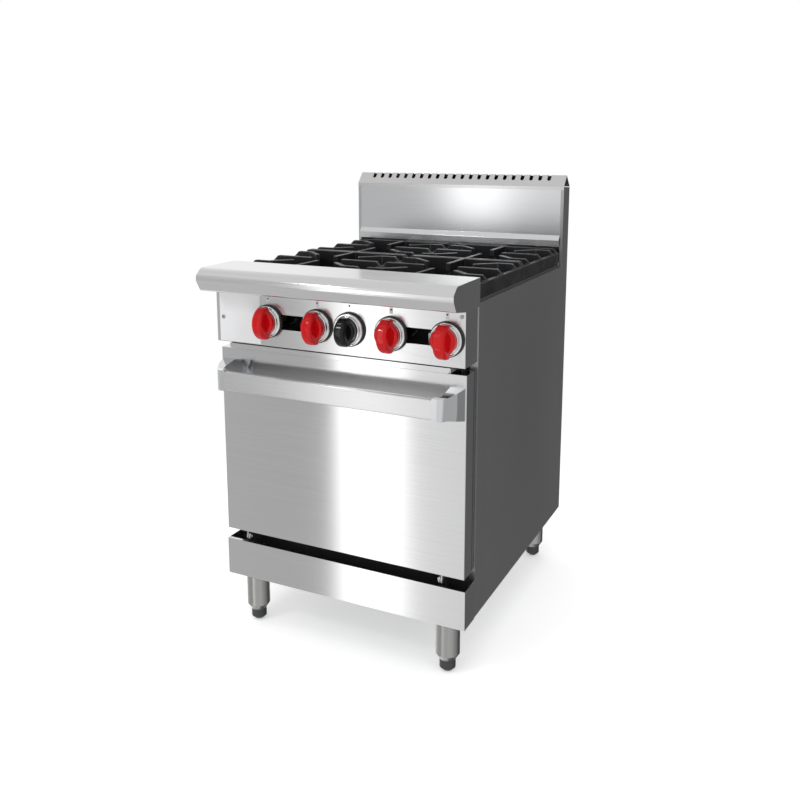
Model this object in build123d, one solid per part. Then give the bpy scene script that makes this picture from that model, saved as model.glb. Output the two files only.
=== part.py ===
from build123d import *
import math
import os

# A commercial gas range: four open burners under cast iron grates, one oven, a low vented riser.
# X runs left to right, Y from front to back, Z up. The origin is on the floor, midway across the
# width and midway between the landing ledge's nose and the end of the gas inlet.
# All lengths are millimetres and all angles degrees.

# Cabinet
WIDTH = 609.6
BODY_DEPTH = 722.0  # door face to cabinet back
SIDE_HEIGHT = 695.0
BODY_BOTTOM_Z = 127.0
SHEET = 1.2
FRAME_SHEET = 2.0
SIDE_FLANGE = 18.0
BASE_CHANNEL_WIDTH = 60.0
BASE_CHANNEL_HEIGHT = 40.0

# Kick plate
KICK_HEIGHT = 89.0
KICK_DROP = 2.5  # below the side panels
KICK_HEM = 8.0
KICK_FLANGE = 10.0

# Oven door
DOOR_HEIGHT = 443.0
DOOR_THICKNESS = 55.0
DOOR_SKIN_DEPTH = 40.0
DOOR_SIDE_GAP = 2.4
DOOR_BODY_GAP = 2.0
DOOR_KICK_GAP = 26.5
DOOR_EDGE_RADIUS = 1.0
DOOR_LINER_LAP = 4.0
PLUG_DEPTH = 12.0
PLUG_GAP = 8.0
INSULATION_GAP = 0.8

# Door handle
HANDLE_SIDE_INSET = 52.8
HANDLE_BAR_HEIGHT = 43.0
HANDLE_BAR_THICKNESS = 12.0
HANDLE_BAR_RADIUS = 2.5
HANDLE_STANDOFF = 62.0  # door face to the bar's front
HANDLE_DROP = 61.0  # door top to the bar's middle
BRACKET_OUTER_REACH = 48.0  # past the bar's end, at the door
BRACKET_FRONT_REACH = 20.0  # past the bar's end, at the front
BRACKET_FOOT_WIDTH = 33.0
BRACKET_CHEEK = 26.0  # length of the flat cheek ahead of the door
BRACKET_LEAN = 8.0
BRACKET_CORNER = 16.0
BRACKET_INNER_CORNER = 10.0
BRACKET_FLARE = 11.0
BRACKET_LIP = 2.0

# Door hinge
HINGE_INSET = 10.0  # door face back to the pivot
HINGE_DROP = 14.0  # door bottom down to the pivot
HINGE_SIDE_INSET = 60.8
HINGE_PLATE = 4.0
HINGE_PLATE_GAP = 1.4
HINGE_EYE_RADIUS = 8.0
HINGE_PIN_RADIUS = 4.0
HINGE_PIN_CLEARANCE = 0.05
HINGE_PIN_END = 3.0
HINGE_FOOT_WIDTH = 30.0
HINGE_FOOT_DEPTH = 34.0
HINGE_FOOT_THICKNESS = 2.0
HINGE_BRACKET_HEIGHT = 46.0
LUG_INSET = 2.0

# Control panel
PANEL_HEIGHT = 115.0
PANEL_SETOUT = 12.0  # ahead of the door face
PANEL_SIDE_GAP = 1.4
PANEL_RETURN = 20.0
TRAY_SLOT = 17.0  # door top to panel bottom
LABEL_WIDTH = 110.0
LABEL_MARGIN = 10.0
LABEL_EDGE = 2.0
LABEL_THICKNESS = 0.6
VIEW_SLOT_HEIGHT = 33.0

# Knobs, with distances along the stem counted outward from the control panel's face
KNOB_Z_ABOVE_PANEL_BOTTOM = 57.0
KNOB_PAIR_PITCH = 125.0
KNOB_LEFT_INSET = 141.8  # cabinet side to the first knob
KNOB_RIGHT_INSET = 40.8
THERMOSTAT_ASIDE = 79.0  # from the second knob
STEM_RADIUS = 4.0
STEM_CLEARANCE = 0.05
STEM_ENTRY = 16.0  # into the valve
BORE_EXTRA = 2.0  # deeper than the stem
PANEL_HOLE_RADIUS = 11.0
GASKET_RADIUS = 37.0
GASKET_THICKNESS = 5.0
BEZEL_RADIUS = 35.0
BEZEL_STEP_RADIUS = 31.0
BEZEL_STEP = 6.0
BEZEL_DEPTH = 12.0
BEZEL_BORE_RADIUS = 12.0
BEZEL_EDGE = 1.5
KNOB_GAP = 0.6  # bezel to knob
BURNER_KNOB_RADIUS = 27.5
THERMOSTAT_KNOB_RADIUS = 24.5
KNOB_DOME_HEIGHT = 11.0
KNOB_DOME_RADIUS = 5.0
KNOB_HUB_RADIUS = 9.0
BURNER_GRIP_UP = 33.5
BURNER_GRIP_DOWN = 36.5
THERMOSTAT_GRIP_UP = 28.5
THERMOSTAT_GRIP_DOWN = 32.5
GRIP_WIDTH = 26.0
GRIP_DEPTH = 34.0
GRIP_SHOULDER = 10.0
GRIP_ROUND = 8.0

# Landing ledge
LEDGE_HEIGHT = 60.0
LEDGE_OVERHANG = 80.0
LEDGE_REAR = 62.0  # behind the door face
LEDGE_SHEET = 1.5
LEDGE_NOSE_HEIGHT = 12.0
LEDGE_NOSE_DROP = 17.0
LEDGE_TOP_SETBACK = 18.0
LEDGE_TOP_FALL = 1.5
LEDGE_FACE_SETBACK = 14.0
LEDGE_LIP_RISE = 8.0
LEDGE_HEM = 12.0
LEDGE_REAR_RADIUS = 2.0
LEDGE_TOP_RADIUS = 16.0
LEDGE_NOSE_RADIUS = 7.0

# Burner box and grates
BOX_SHEET = 1.5
BOX_WALL_GAP = 0.8
BOX_FRONT = 72.0  # behind the door face
BOX_REAR_GAP = 9.0  # to the riser's front
BOX_HEIGHT = 116.0
BOX_LIP = 6.0  # stands on the side panels
BOX_FLANGE = 16.0
BOX_SIDE_INSET = 4.8
CROSS_RAIL_WIDTH = 26.0
CROSS_RAIL_HEIGHT = 14.0
GRATE_SIDE_INSET = 1.25
GRATE_END_INSET = 2.25
GRATE_GAP = 2.5
GRATE_HEIGHT = 43.0
GRATE_SIDE_HEIGHT = 31.0
GRATE_RIB = 10.0
GRATE_RIB_DEPTH = 29.0
GRATE_RIB_OFFSET = 97.0
GRATE_KNEE = 101.0
GRATE_TIP_DIAGONAL = 56.0
GRATE_TIP_STRAIGHT = 42.0
GRATE_TIP_RISE = 14.0
GRATE_EDGE = 1.2
TIP_FALL = 0.1  # finger tops below the ribs' tops

# Crumb tray
TRAY_SIDE_SPACE = 33.8
TRAY_REAR_SPACE = 82.0
TRAY_HEIGHT = 10.5
TRAY_RUN_GAP = 0.3
TRAY_LIP_DROP = 1.0
TRAY_LIP_CORNER = 6.0
RUNNER_TOP_ABOVE_DOOR = 3.5
RUNNER_LAP = 16.0
RUNNER_GUIDE_HEIGHT = 10.0
RUNNER_GUIDE_GAP = 1.8

# Gas train
PIPE_RADIUS = 13.35  # 3/4 inch pipe
PIPE_WALL = 2.8
MANIFOLD_BEHIND_DOOR = 24.0
MANIFOLD_BELOW_KNOBS = 43.0
MANIFOLD_END_INSET = 19.8
SUPPLY_SIDE_INSET = 36.8
INLET_REACH = 25.0
COLLAR_RADIUS = 18.0
COLLAR_THICKNESS = 6.0
VALVE_RADIUS = 11.0
VALVE_LENGTH = 46.0
VALVE_SETBACK = 12.0  # panel face to the valve's nose
VALVE_NECK_RADIUS = 8.0
ORIFICE_RADIUS = 6.0
ORIFICE_LENGTH = 7.0
THERMOSTAT_WIDTH = 62.0
THERMOSTAT_HEIGHT = 46.0
OUTLET_ASIDE = 15.0  # from the thermostat's stem
OUTLET_DROP = 15.0
OVEN_TUBE_RADIUS = 4.0
OVEN_TUBE_BEND = 8.0
OVEN_TUBE_SIDE_INSET = 22.8
PILOT_TUBE_RADIUS = 3.0
PILOT_HEAD_RADIUS = 6.0
PILOT_OFFSET = 70.0

# Top burners
VENTURI_RADIUS = 18.0
VENTURI_WALL = 4.0
VENTURI_MOUTH_RADIUS = 22.0
VENTURI_MOUTH_LENGTH = 26.0
VENTURI_FRONT = 55.0  # behind the door face
CUP_RADIUS = 47.0
CUP_HEIGHT = 16.0
HEAD_RADIUS = 50.0
HEAD_HEIGHT = 20.0
HEAD_WELL_RADIUS = 20.0
HEAD_WELL_SLOPE = 4.0
HEAD_WELL_DEPTH = 8.0
HEAD_FOOT_EDGE = 4.0
HEAD_TOP_SLOPE = 9.0
HEAD_TOP_FALL = 7.0
HEAD_BELOW_GRATE = 3.0
PORT_COUNT = 18
PORT_WIDTH = 3.0
PORT_HEIGHT = 7.0
PORT_DEPTH = 7.0

# Oven
OVEN_SIDE_SPACE = 50.8
OVEN_HEIGHT = 343.0
OVEN_REAR_SPACE = 102.6
OVEN_ABOVE_DOOR_BOTTOM = 30.0
FRAME_ABOVE_DOOR = 2.0
DECK_THICKNESS = 1.5
DECK_GAP = 4.0
DECK_SLOTS = 8
DECK_SLOT_LENGTH = 40.0
DECK_SLOT_WIDTH = 12.0
FLOOR_LEDGE = 14.0  # oven floor left round the burner opening
FLOOR_END_LEDGE = 50.0
FLUE_SLOT_HEIGHT = 24.0
FIRE_BOX_HEIGHT = 84.0
BURNER_PIPE_RADIUS = 20.0
BURNER_PIPE_BELOW_OVEN = 58.0
BURNER_PORTS = 12
BURNER_PORT_RADIUS = 2.5
BAFFLE_WIDTH = 180.0
BAFFLE_RISE = 14.0
BAFFLE_GAP = 4.0  # over the burner pipe
BAFFLE_LEG_INSET = 10.0
BAFFLE_LEG_WIDTH = 12.0
SAFETY_VALVE_LEFT = 60.0  # left of the oven burner's axis
SAFETY_VALVE_RIGHT = 20.0
SAFETY_VALVE_DEPTH = 22.0
SAFETY_VALVE_HEIGHT = 28.0
SAFETY_VALVE_LEAD = 8.0  # behind the gas tube's axis
BURNER_WALL = 3.0
INSULATION_SIDE = 20.0
INSULATION_TOP = 45.0
INSULATION_BACK = 24.0
SEAL_WIDTH = 10.0
SEAL_OFFSET = 4.0
SEAL_GAP = 0.5
DUCT_WIDTH = 300.0
DUCT_DEPTH = 42.0
DUCT_SHEET = 1.0
DUCT_INLET_HEIGHT = 44.0

# Oven rack and its guides
WIRE_RADIUS = 3.0
GUIDE_LEVELS = 5
GUIDE_PITCH = 55.0
GUIDE_FIRST = 60.0  # above the oven floor
GUIDE_END_GAP = 50.0
GUIDE_WALL_GAP = 0.5
GUIDE_RAIL_INSET = 4.5
GUIDE_POST_INSET = 12.0
RACK_LEVEL = 1
RACK_RAIL_RADIUS = 4.0
RACK_BAR_RADIUS = 2.5
RACK_BAR_PITCH = 27.0
RACK_FRONT_GAP = 15.6
RACK_REAR_GAP = 24.4
RACK_WALL_GAP = 7.0
RACK_LIFT = 0.3

# Riser
RISER_HEIGHT = 154.0  # above the ledge
RISER_DEPTH = 54.0
RISER_BAND_STEP = 9.0
RISER_BAND_HEIGHT = 17.0
RISER_BAND_SLOPE = 12.0
RISER_END_FLANGE = 7.8
CAP_RISE = 32.0
CAP_RIDGE_SETBACK = 24.0
CAP_LIP = 6.0
VENT_COUNT = 22
VENT_END_INSET = 45.45
VENT_LENGTH = 20.0
VENT_WIDTH = 10.0
VENT_FROM_RIDGE = 9.0  # down the slope, to the vent's middle

# Legs and feet
LEG_SIDE_INSET = 54.8
LEG_FRONT = 41.0  # behind the door face
LEG_REAR_INSET = 63.0
LEG_RADIUS = 27.0
LEG_WALL = 1.5
LEG_NECK_RADIUS = 19.0
LEG_TAPER = 13.0
LEG_PLUG = 20.0
LEG_PLATE = 60.0
LEG_PLATE_THICKNESS = 3.0
FOOT_HEIGHT = 28.0
FOOT_RADIUS = 18.0
FOOT_CHAMFER = 8.0
FOOT_STEM_RADIUS = 8.0
FOOT_STEM_LENGTH = 52.0
FOOT_CLEARANCE = 0.05
FOOT_SHOULDER_GAP = 0.3

# Fasteners and clearance holes
SCREW_RADIUS = 4.0
SCREW_HEAD = 2.0
BACK_SCREWS = 4
HOLE_MARGIN = 1.0
TUBE_HOLE_MARGIN = 3.0

# Worked out from the values above
HALF = WIDTH / 2
INNER = HALF - SHEET
FLANGE_X = HALF - SIDE_FLANGE
FRONT_Y = -(LEDGE_OVERHANG + BODY_DEPTH + INLET_REACH) / 2
DOOR_Y = FRONT_Y + LEDGE_OVERHANG
BACK_Y = DOOR_Y + BODY_DEPTH
BODY_Y = DOOR_Y + DOOR_THICKNESS + DOOR_BODY_GAP
PANEL_Y = DOOR_Y - PANEL_SETOUT
FRAME_Y = BODY_Y + SHEET

SIDE_TOP_Z = BODY_BOTTOM_Z + SIDE_HEIGHT
KICK_BOTTOM_Z = BODY_BOTTOM_Z - KICK_DROP
KICK_TOP_Z = KICK_BOTTOM_Z + KICK_HEIGHT
DOOR_BOTTOM_Z = KICK_TOP_Z + DOOR_KICK_GAP
DOOR_TOP_Z = DOOR_BOTTOM_Z + DOOR_HEIGHT
PANEL_BOTTOM_Z = DOOR_TOP_Z + TRAY_SLOT
PANEL_TOP_Z = PANEL_BOTTOM_Z + PANEL_HEIGHT
LEDGE_TOP_Z = PANEL_TOP_Z + LEDGE_HEIGHT
KNOB_Z = PANEL_BOTTOM_Z + KNOB_Z_ABOVE_PANEL_BOTTOM
BURNER_KNOB_XS = (
    KNOB_LEFT_INSET - HALF,
    KNOB_LEFT_INSET - HALF + KNOB_PAIR_PITCH,
    HALF - KNOB_RIGHT_INSET - KNOB_PAIR_PITCH,
    HALF - KNOB_RIGHT_INSET,
)
THERMOSTAT_X = BURNER_KNOB_XS[1] + THERMOSTAT_ASIDE
HANDLE_LENGTH = WIDTH - 2 * HANDLE_SIDE_INSET
HINGE_X = HALF - HINGE_SIDE_INSET
HINGE_Y = DOOR_Y + HINGE_INSET
HINGE_Z = DOOR_BOTTOM_Z - HINGE_DROP

RISER_Y = BACK_Y - RISER_DEPTH
BOX_Y = DOOR_Y + BOX_FRONT
BOX_BACK_Y = RISER_Y - BOX_REAR_GAP
BOX_HALF_WIDTH = FLANGE_X - BOX_WALL_GAP
BOX_SIDE_REACH = HALF - BOX_SIDE_INSET
BOX_TOP_Z = SIDE_TOP_Z + BOX_LIP
BOX_BOTTOM_Z = BOX_TOP_Z - BOX_HEIGHT
GRATE_WIDTH = BOX_SIDE_REACH - GRATE_SIDE_INSET - GRATE_GAP / 2
GRATE_DEPTH = (BOX_BACK_Y - BOX_Y - GRATE_GAP) / 2 - GRATE_END_INSET
GRATE_PITCH_Y = GRATE_DEPTH + GRATE_GAP
GRATE_X = (GRATE_WIDTH + GRATE_GAP) / 2
CROSS_Y = (BOX_Y + BOX_BACK_Y) / 2
GRATE_YS = (CROSS_Y - GRATE_PITCH_Y / 2, CROSS_Y + GRATE_PITCH_Y / 2)

TRAY_WIDTH = WIDTH - 2 * TRAY_SIDE_SPACE
TRAY_DEPTH = BODY_DEPTH - TRAY_REAR_SPACE
RUNNER_Z = DOOR_TOP_Z + RUNNER_TOP_ABOVE_DOOR
TRAY_Z = RUNNER_Z + TRAY_RUN_GAP
TRAY_Y = PANEL_Y + SHEET + SHEET
MANIFOLD_Y = DOOR_Y + MANIFOLD_BEHIND_DOOR
MANIFOLD_Z = KNOB_Z - MANIFOLD_BELOW_KNOBS
MANIFOLD_LEFT_REACH = HALF - MANIFOLD_END_INSET
SUPPLY_X = HALF - SUPPLY_SIDE_INSET
OVEN_TUBE_X = OVEN_TUBE_SIDE_INSET - HALF
VALVE_BACK_Y = PANEL_Y + VALVE_SETBACK + VALVE_LENGTH
VENTURI_Y = DOOR_Y + VENTURI_FRONT
HEAD_Z = BOX_TOP_Z - HEAD_BELOW_GRATE - HEAD_HEIGHT
CUP_Z = HEAD_Z - CUP_HEIGHT

OVEN_HALF = HALF - OVEN_SIDE_SPACE
OVEN_Z = DOOR_BOTTOM_Z + OVEN_ABOVE_DOOR_BOTTOM
OVEN_TOP_Z = OVEN_Z + OVEN_HEIGHT
OVEN_Y = FRAME_Y + SHEET
OVEN_BACK_Y = BACK_Y - OVEN_REAR_SPACE
OPENING_HALF = OVEN_HALF - FLOOR_LEDGE
OPENING_Y = OVEN_Y + FLOOR_END_LEDGE
OPENING_BACK_Y = OVEN_BACK_Y - FLOOR_END_LEDGE
OVEN_BURNER_Z = OVEN_Z - SHEET - BURNER_PIPE_BELOW_OVEN

RISER_TOP_Z = LEDGE_TOP_Z + RISER_HEIGHT
RIDGE_Z = RISER_TOP_Z + CAP_RISE
DUCT_BACK_Y = BACK_Y - 2 * SHEET - DUCT_SHEET
DUCT_Y = DUCT_BACK_Y - DUCT_DEPTH


def block(x0, x1, y0, y1, z0, z1):
    """A box between two opposite corners."""
    middle = Pos((x0 + x1) / 2, (y0 + y1) / 2, (z0 + z1) / 2)
    return middle * Box(x1 - x0, y1 - y0, z1 - z0)


def rod_x(radius, x0, x1, y, z):
    return Pos((x0 + x1) / 2, y, z) * Rot(0, 90, 0) * Cylinder(radius, x1 - x0)


def rod_y(radius, x, y0, y1, z):
    return Pos(x, (y0 + y1) / 2, z) * Rot(90, 0, 0) * Cylinder(radius, y1 - y0)


def rod_z(radius, x, y, z0, z1):
    return Pos(x, y, (z0 + z1) / 2) * Cylinder(radius, z1 - z0)


def profile_x(points, x0, x1):
    """A closed outline of (y, z) points drawn out along X."""
    face = make_face(Polyline(*points, close=True))
    return Pos(x0, 0, 0) * extrude(Plane.YZ * face, amount=x1 - x0)


def bent_sheet(path, thickness, side, x0, x1):
    """A sheet along a path of (y, z) points, thick to one side of it, drawn out along X."""
    outline = path.wire().offset_2d(thickness, Kind.INTERSECTION, side, True)
    return Pos(x0, 0, 0) * extrude(Plane.YZ * make_face(outline.edges()), amount=x1 - x0)


def both_sides(solid):
    """The solid and its mirror image across the middle of the range."""
    return [solid, mirror(solid, about=Plane.YZ)]


def facing_front(x):
    """Places a shape drawn along +Z so that it points out of the control panel at a knob."""
    return Pos(x, PANEL_Y, KNOB_Z) * Rot(90, 0, 0)


def turned(points):
    """A solid of revolution about Z from (radius, z) points."""
    face = make_face(Polyline(*points, close=True))
    return revolve(Plane.XZ * face, axis=Axis.Z)


# Cabinet


def side_panel():
    """The right side: a flat skin with flanges turned in all round."""
    skin = block(INNER, HALF, BODY_Y, BACK_Y, BODY_BOTTOM_Z, SIDE_TOP_Z)
    pan = block(FLANGE_X, HALF, BODY_Y, BACK_Y, BODY_BOTTOM_Z, SIDE_TOP_Z)
    hollow = block(
        FLANGE_X, INNER, BODY_Y + SHEET, BACK_Y - SHEET, BODY_BOTTOM_Z + SHEET, SIDE_TOP_Z - SHEET
    )
    return skin + (pan - hollow)


def back_panel():
    """The back sheet, inside the side panels' flanges, with the hole for the gas inlet."""
    sheet = block(
        -INNER, INNER, BACK_Y - 2 * SHEET, BACK_Y - SHEET, BODY_BOTTOM_Z + SHEET, SIDE_TOP_Z - SHEET
    )
    hole = PIPE_RADIUS + HOLE_MARGIN
    return sheet - rod_y(hole, SUPPLY_X, BACK_Y - 2 * SHEET, BACK_Y - SHEET, MANIFOLD_Z)


def base_frame():
    """A ring of upward channel between the side panels' flanges."""
    front = DOOR_Y + SHEET
    back = BACK_Y - 2 * SHEET
    top = BODY_BOTTOM_Z + BASE_CHANNEL_HEIGHT
    wide = BASE_CHANNEL_WIDTH
    ring = block(-FLANGE_X, FLANGE_X, front, back, BODY_BOTTOM_Z, top)
    ring -= block(
        -FLANGE_X + wide, FLANGE_X - wide, front + wide, back - wide, BODY_BOTTOM_Z, top
    )
    thin = FRAME_SHEET
    trough = block(
        -FLANGE_X + thin, FLANGE_X - thin, front + thin, back - thin, BODY_BOTTOM_Z + thin, top
    )
    inset = wide - thin
    trough -= block(
        -FLANGE_X + inset, FLANGE_X - inset, front + inset, back - inset, BODY_BOTTOM_Z, top
    )
    return ring - trough


def kick_plate():
    """The front plate under the door, with side returns, a bottom flange and a hem on top."""
    back = BODY_Y
    front = block(-HALF, HALF, DOOR_Y, DOOR_Y + SHEET, KICK_BOTTOM_Z, KICK_TOP_Z)
    flange_top = KICK_BOTTOM_Z + SHEET
    flange = block(-HALF, HALF, DOOR_Y, DOOR_Y + KICK_FLANGE, KICK_BOTTOM_Z, flange_top)
    hem = block(-HALF, HALF, DOOR_Y, DOOR_Y + KICK_HEM, KICK_TOP_Z - SHEET, KICK_TOP_Z)
    plate = front + flange + hem
    for side in both_sides(block(INNER, HALF, DOOR_Y, back, KICK_BOTTOM_Z, KICK_TOP_Z)):
        plate += side
    return plate


def oven_front_frame():
    """The plate that the door closes on, with the oven mouth."""
    bottom = BODY_BOTTOM_Z + BASE_CHANNEL_HEIGHT
    plate = block(-INNER, INNER, FRAME_Y, OVEN_Y, bottom, DOOR_TOP_Z + FRAME_ABOVE_DOOR)
    mouth = block(-OVEN_HALF, OVEN_HALF, FRAME_Y, OVEN_Y, OVEN_Z, OVEN_TOP_Z)
    return plate - mouth


def landing_ledge():
    """The rolled shelf over the control panel, closed by a plate at each end."""
    rear = DOOR_Y + LEDGE_REAR
    nose = DOOR_Y - LEDGE_OVERHANG
    shoulder_z = LEDGE_TOP_Z - LEDGE_TOP_FALL
    nose_z = LEDGE_TOP_Z - LEDGE_NOSE_DROP
    top_front = (nose + LEDGE_TOP_SETBACK, shoulder_z)
    nose_top = (nose, nose_z)
    nose_low = (nose, nose_z - LEDGE_NOSE_HEIGHT)
    chin = (nose + LEDGE_FACE_SETBACK, PANEL_TOP_Z + LEDGE_LIP_RISE)
    tuck = (PANEL_Y, PANEL_TOP_Z)
    path = FilletPolyline(
        (rear, LEDGE_TOP_Z - LEDGE_HEM),
        (rear, LEDGE_TOP_Z),
        top_front,
        nose_top,
        nose_low,
        chin,
        tuck,
        radius=(LEDGE_REAR_RADIUS, LEDGE_TOP_RADIUS, *[LEDGE_NOSE_RADIUS] * 3),
    )
    shelf = bent_sheet(path, LEDGE_SHEET, Side.LEFT, -HALF, HALF)
    lower_rear = [(BODY_Y, PANEL_TOP_Z), (BODY_Y, SIDE_TOP_Z), (rear, SIDE_TOP_Z)]
    closing = Polyline(tuck, *lower_rear, (rear, LEDGE_TOP_Z - LEDGE_HEM))
    end_face = make_face(path.edges() + closing.edges())
    plate = Pos(HALF - LEDGE_SHEET, 0, 0) * extrude(Plane.YZ * end_face, amount=LEDGE_SHEET)
    for end in both_sides(plate):
        shelf += end
    return shelf


# Control panel


def knob_places():
    return [*BURNER_KNOB_XS, THERMOSTAT_X]


def view_slots():
    """The two long slots behind each pair of burner knobs."""
    slots = []
    half = VIEW_SLOT_HEIGHT / 2
    for left, right in (BURNER_KNOB_XS[:2], BURNER_KNOB_XS[2:]):
        slots.append(block(left, right, PANEL_Y, PANEL_Y + SHEET, KNOB_Z - half, KNOB_Z + half))
    return slots


def control_panel():
    """The front panel with side and bottom returns, stem holes and the two slots."""
    reach = HALF - PANEL_SIDE_GAP
    panel = block(-reach, reach, PANEL_Y, PANEL_Y + SHEET, PANEL_BOTTOM_Z, PANEL_TOP_Z)
    panel += block(
        -reach, reach, PANEL_Y, PANEL_Y + PANEL_RETURN, PANEL_BOTTOM_Z, PANEL_BOTTOM_Z + SHEET
    )
    for side in both_sides(block(reach - SHEET, reach, PANEL_Y, BODY_Y, PANEL_BOTTOM_Z, PANEL_TOP_Z)):
        panel += side
    for slot in view_slots():
        panel -= slot
    for x in knob_places():
        panel -= rod_y(PANEL_HOLE_RADIUS, x, PANEL_Y, PANEL_Y + SHEET, KNOB_Z)
    return panel


def label_plate():
    """The bare rating plate at the left, cut round the first knob's gasket."""
    left = -HALF + LABEL_MARGIN
    bottom = PANEL_BOTTOM_Z + LABEL_EDGE
    top = PANEL_TOP_Z - LABEL_EDGE
    plate = block(left, left + LABEL_WIDTH, PANEL_Y - LABEL_THICKNESS, PANEL_Y, bottom, top)
    gasket_hole = GASKET_RADIUS + HOLE_MARGIN
    gasket = rod_y(gasket_hole, BURNER_KNOB_XS[0], PANEL_Y - LABEL_THICKNESS, PANEL_Y, KNOB_Z)
    return plate - gasket


def knob_gasket(x):
    ring = Cylinder(GASKET_RADIUS, GASKET_THICKNESS) - Cylinder(BEZEL_BORE_RADIUS, GASKET_THICKNESS)
    return facing_front(x) * Pos(0, 0, GASKET_THICKNESS / 2) * ring


def bezel(x):
    """A stepped ring over the gasket, with a bore for the knob's hub."""
    back = GASKET_THICKNESS
    step = back + BEZEL_STEP
    front = back + BEZEL_DEPTH
    ring = turned(
        [
            (BEZEL_BORE_RADIUS, back),
            (BEZEL_RADIUS, back),
            (BEZEL_RADIUS, step - BEZEL_EDGE),
            (BEZEL_RADIUS - BEZEL_EDGE, step),
            (BEZEL_STEP_RADIUS, step),
            (BEZEL_STEP_RADIUS, front - BEZEL_EDGE),
            (BEZEL_STEP_RADIUS - BEZEL_EDGE, front),
            (BEZEL_BORE_RADIUS, front),
        ]
    )
    return facing_front(x) * ring


def knob(x, radius, up, down):
    """A domed knob with a rounded standing grip, its hub and the stem that enters the valve."""
    base = GASKET_THICKNESS + BEZEL_DEPTH + KNOB_GAP
    dome = Pos(0, 0, base + KNOB_DOME_HEIGHT / 2) * Cylinder(radius, KNOB_DOME_HEIGHT)
    dome = fillet(dome.edges().group_by(Axis.Z)[-1], KNOB_DOME_RADIUS)
    shoulder = base + GRIP_SHOULDER
    crest = ((up - down) / 2, base + GRIP_DEPTH)
    front = ThreePointArc((up, shoulder), crest, (-down, shoulder))
    back = Polyline((-down, shoulder), (-down, base), (up, base), (up, shoulder))
    outline = make_face(front.edges() + back.edges())
    grip = Pos(-GRIP_WIDTH / 2, 0, 0) * extrude(Plane.YZ * outline, amount=GRIP_WIDTH)
    rims = grip.edges().filter_by(GeomType.CIRCLE)
    grip = fillet(rims, GRIP_ROUND)
    hub = Pos(0, 0, base / 2) * Cylinder(KNOB_HUB_RADIUS, base)
    stem_length = VALVE_SETBACK + STEM_ENTRY
    stem = Pos(0, 0, -stem_length / 2) * Cylinder(STEM_RADIUS, stem_length)
    return facing_front(x) * (dome + grip + hub + stem)


def panel_screws():
    """Screw heads on the label plate, the panel's right end and the back."""
    heads = []
    label_face = PANEL_Y - LABEL_THICKNESS
    left = -HALF + 2 * LABEL_MARGIN
    heads.append(rod_y(SCREW_RADIUS, left, label_face - SCREW_HEAD, label_face, KNOB_Z))
    right = HALF - LABEL_MARGIN
    top = PANEL_TOP_Z - LABEL_MARGIN
    heads.append(rod_y(SCREW_RADIUS, right, PANEL_Y - SCREW_HEAD, PANEL_Y, top))
    back_x = HALF - SIDE_FLANGE / 2
    pitch = (SIDE_HEIGHT - 2 * SIDE_FLANGE) / (BACK_SCREWS - 1)
    for step in range(BACK_SCREWS):
        z = BODY_BOTTOM_Z + SIDE_FLANGE + step * pitch
        heads += both_sides(rod_y(SCREW_RADIUS, back_x, BACK_Y, BACK_Y + SCREW_HEAD, z))
    return heads


# Burner box, grates and tray


def burner_box():
    """A sheet box open above and below, whose flanges carry the grates."""
    wall = BOX_SHEET
    half = BOX_HALF_WIDTH
    box = block(-half, half, BOX_Y, BOX_BACK_Y, BOX_BOTTOM_Z, BOX_TOP_Z)
    box += block(-BOX_SIDE_REACH, BOX_SIDE_REACH, BOX_Y, BOX_BACK_Y, SIDE_TOP_Z, BOX_TOP_Z)
    edge = BOX_SIDE_REACH - wall
    for side in both_sides(block(half, edge, BOX_Y, BOX_BACK_Y, SIDE_TOP_Z, BOX_TOP_Z - wall)):
        box -= side
    inside = half - wall
    box -= block(
        -inside, inside, BOX_Y + wall, BOX_BACK_Y - wall, BOX_BOTTOM_Z, BOX_TOP_Z - wall
    )
    rim = BOX_FLANGE
    box -= block(-inside, inside, BOX_Y + rim, BOX_BACK_Y - rim, BOX_BOTTOM_Z, BOX_TOP_Z)
    for x in BURNER_KNOB_XS:
        box -= rod_y(VENTURI_MOUTH_RADIUS, x, BOX_Y, BOX_Y + wall, KNOB_Z)
    supply = PIPE_RADIUS + HOLE_MARGIN
    for y in (BOX_Y, BOX_BACK_Y - wall):
        box -= rod_y(supply, SUPPLY_X, y, y + wall, MANIFOLD_Z)
        box -= block(
            SUPPLY_X - supply, SUPPLY_X + supply, y, y + wall, BOX_BOTTOM_Z, MANIFOLD_Z
        )
    for x in pilot_xs():
        box -= rod_y(PILOT_TUBE_RADIUS + HOLE_MARGIN, x, BOX_Y, BOX_Y + wall, KNOB_Z)
    return box


def grate_cross_rail():
    """The cross-shaped channel that carries the grates' inner edges."""
    wall = BOX_SHEET
    wide = CROSS_RAIL_WIDTH / 2
    low = BOX_TOP_Z - CROSS_RAIL_HEIGHT
    reach = BOX_HALF_WIDTH - wall
    front = BOX_Y + BOX_FLANGE
    back = BOX_BACK_Y - BOX_FLANGE
    along = block(-wide, wide, front, back, low, BOX_TOP_Z)
    across = block(-reach, reach, CROSS_Y - wide, CROSS_Y + wide, low, BOX_TOP_Z)
    thin = wide - wall
    top = BOX_TOP_Z - wall
    along_hollow = block(-thin, thin, front, back, low, top)
    across_hollow = block(-reach, reach, CROSS_Y - thin, CROSS_Y + thin, low, top)
    return (along + across) - along_hollow - across_hollow


def rib_along(points, turn):
    """A grate rib from (distance from centre, height) points, turned about the centre."""
    face = make_face(Polyline(*points, close=True))
    rib = Pos(0, GRATE_RIB / 2, 0) * extrude(Plane.XZ * face, amount=GRATE_RIB)
    return Rot(0, 0, turn) * rib


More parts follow.
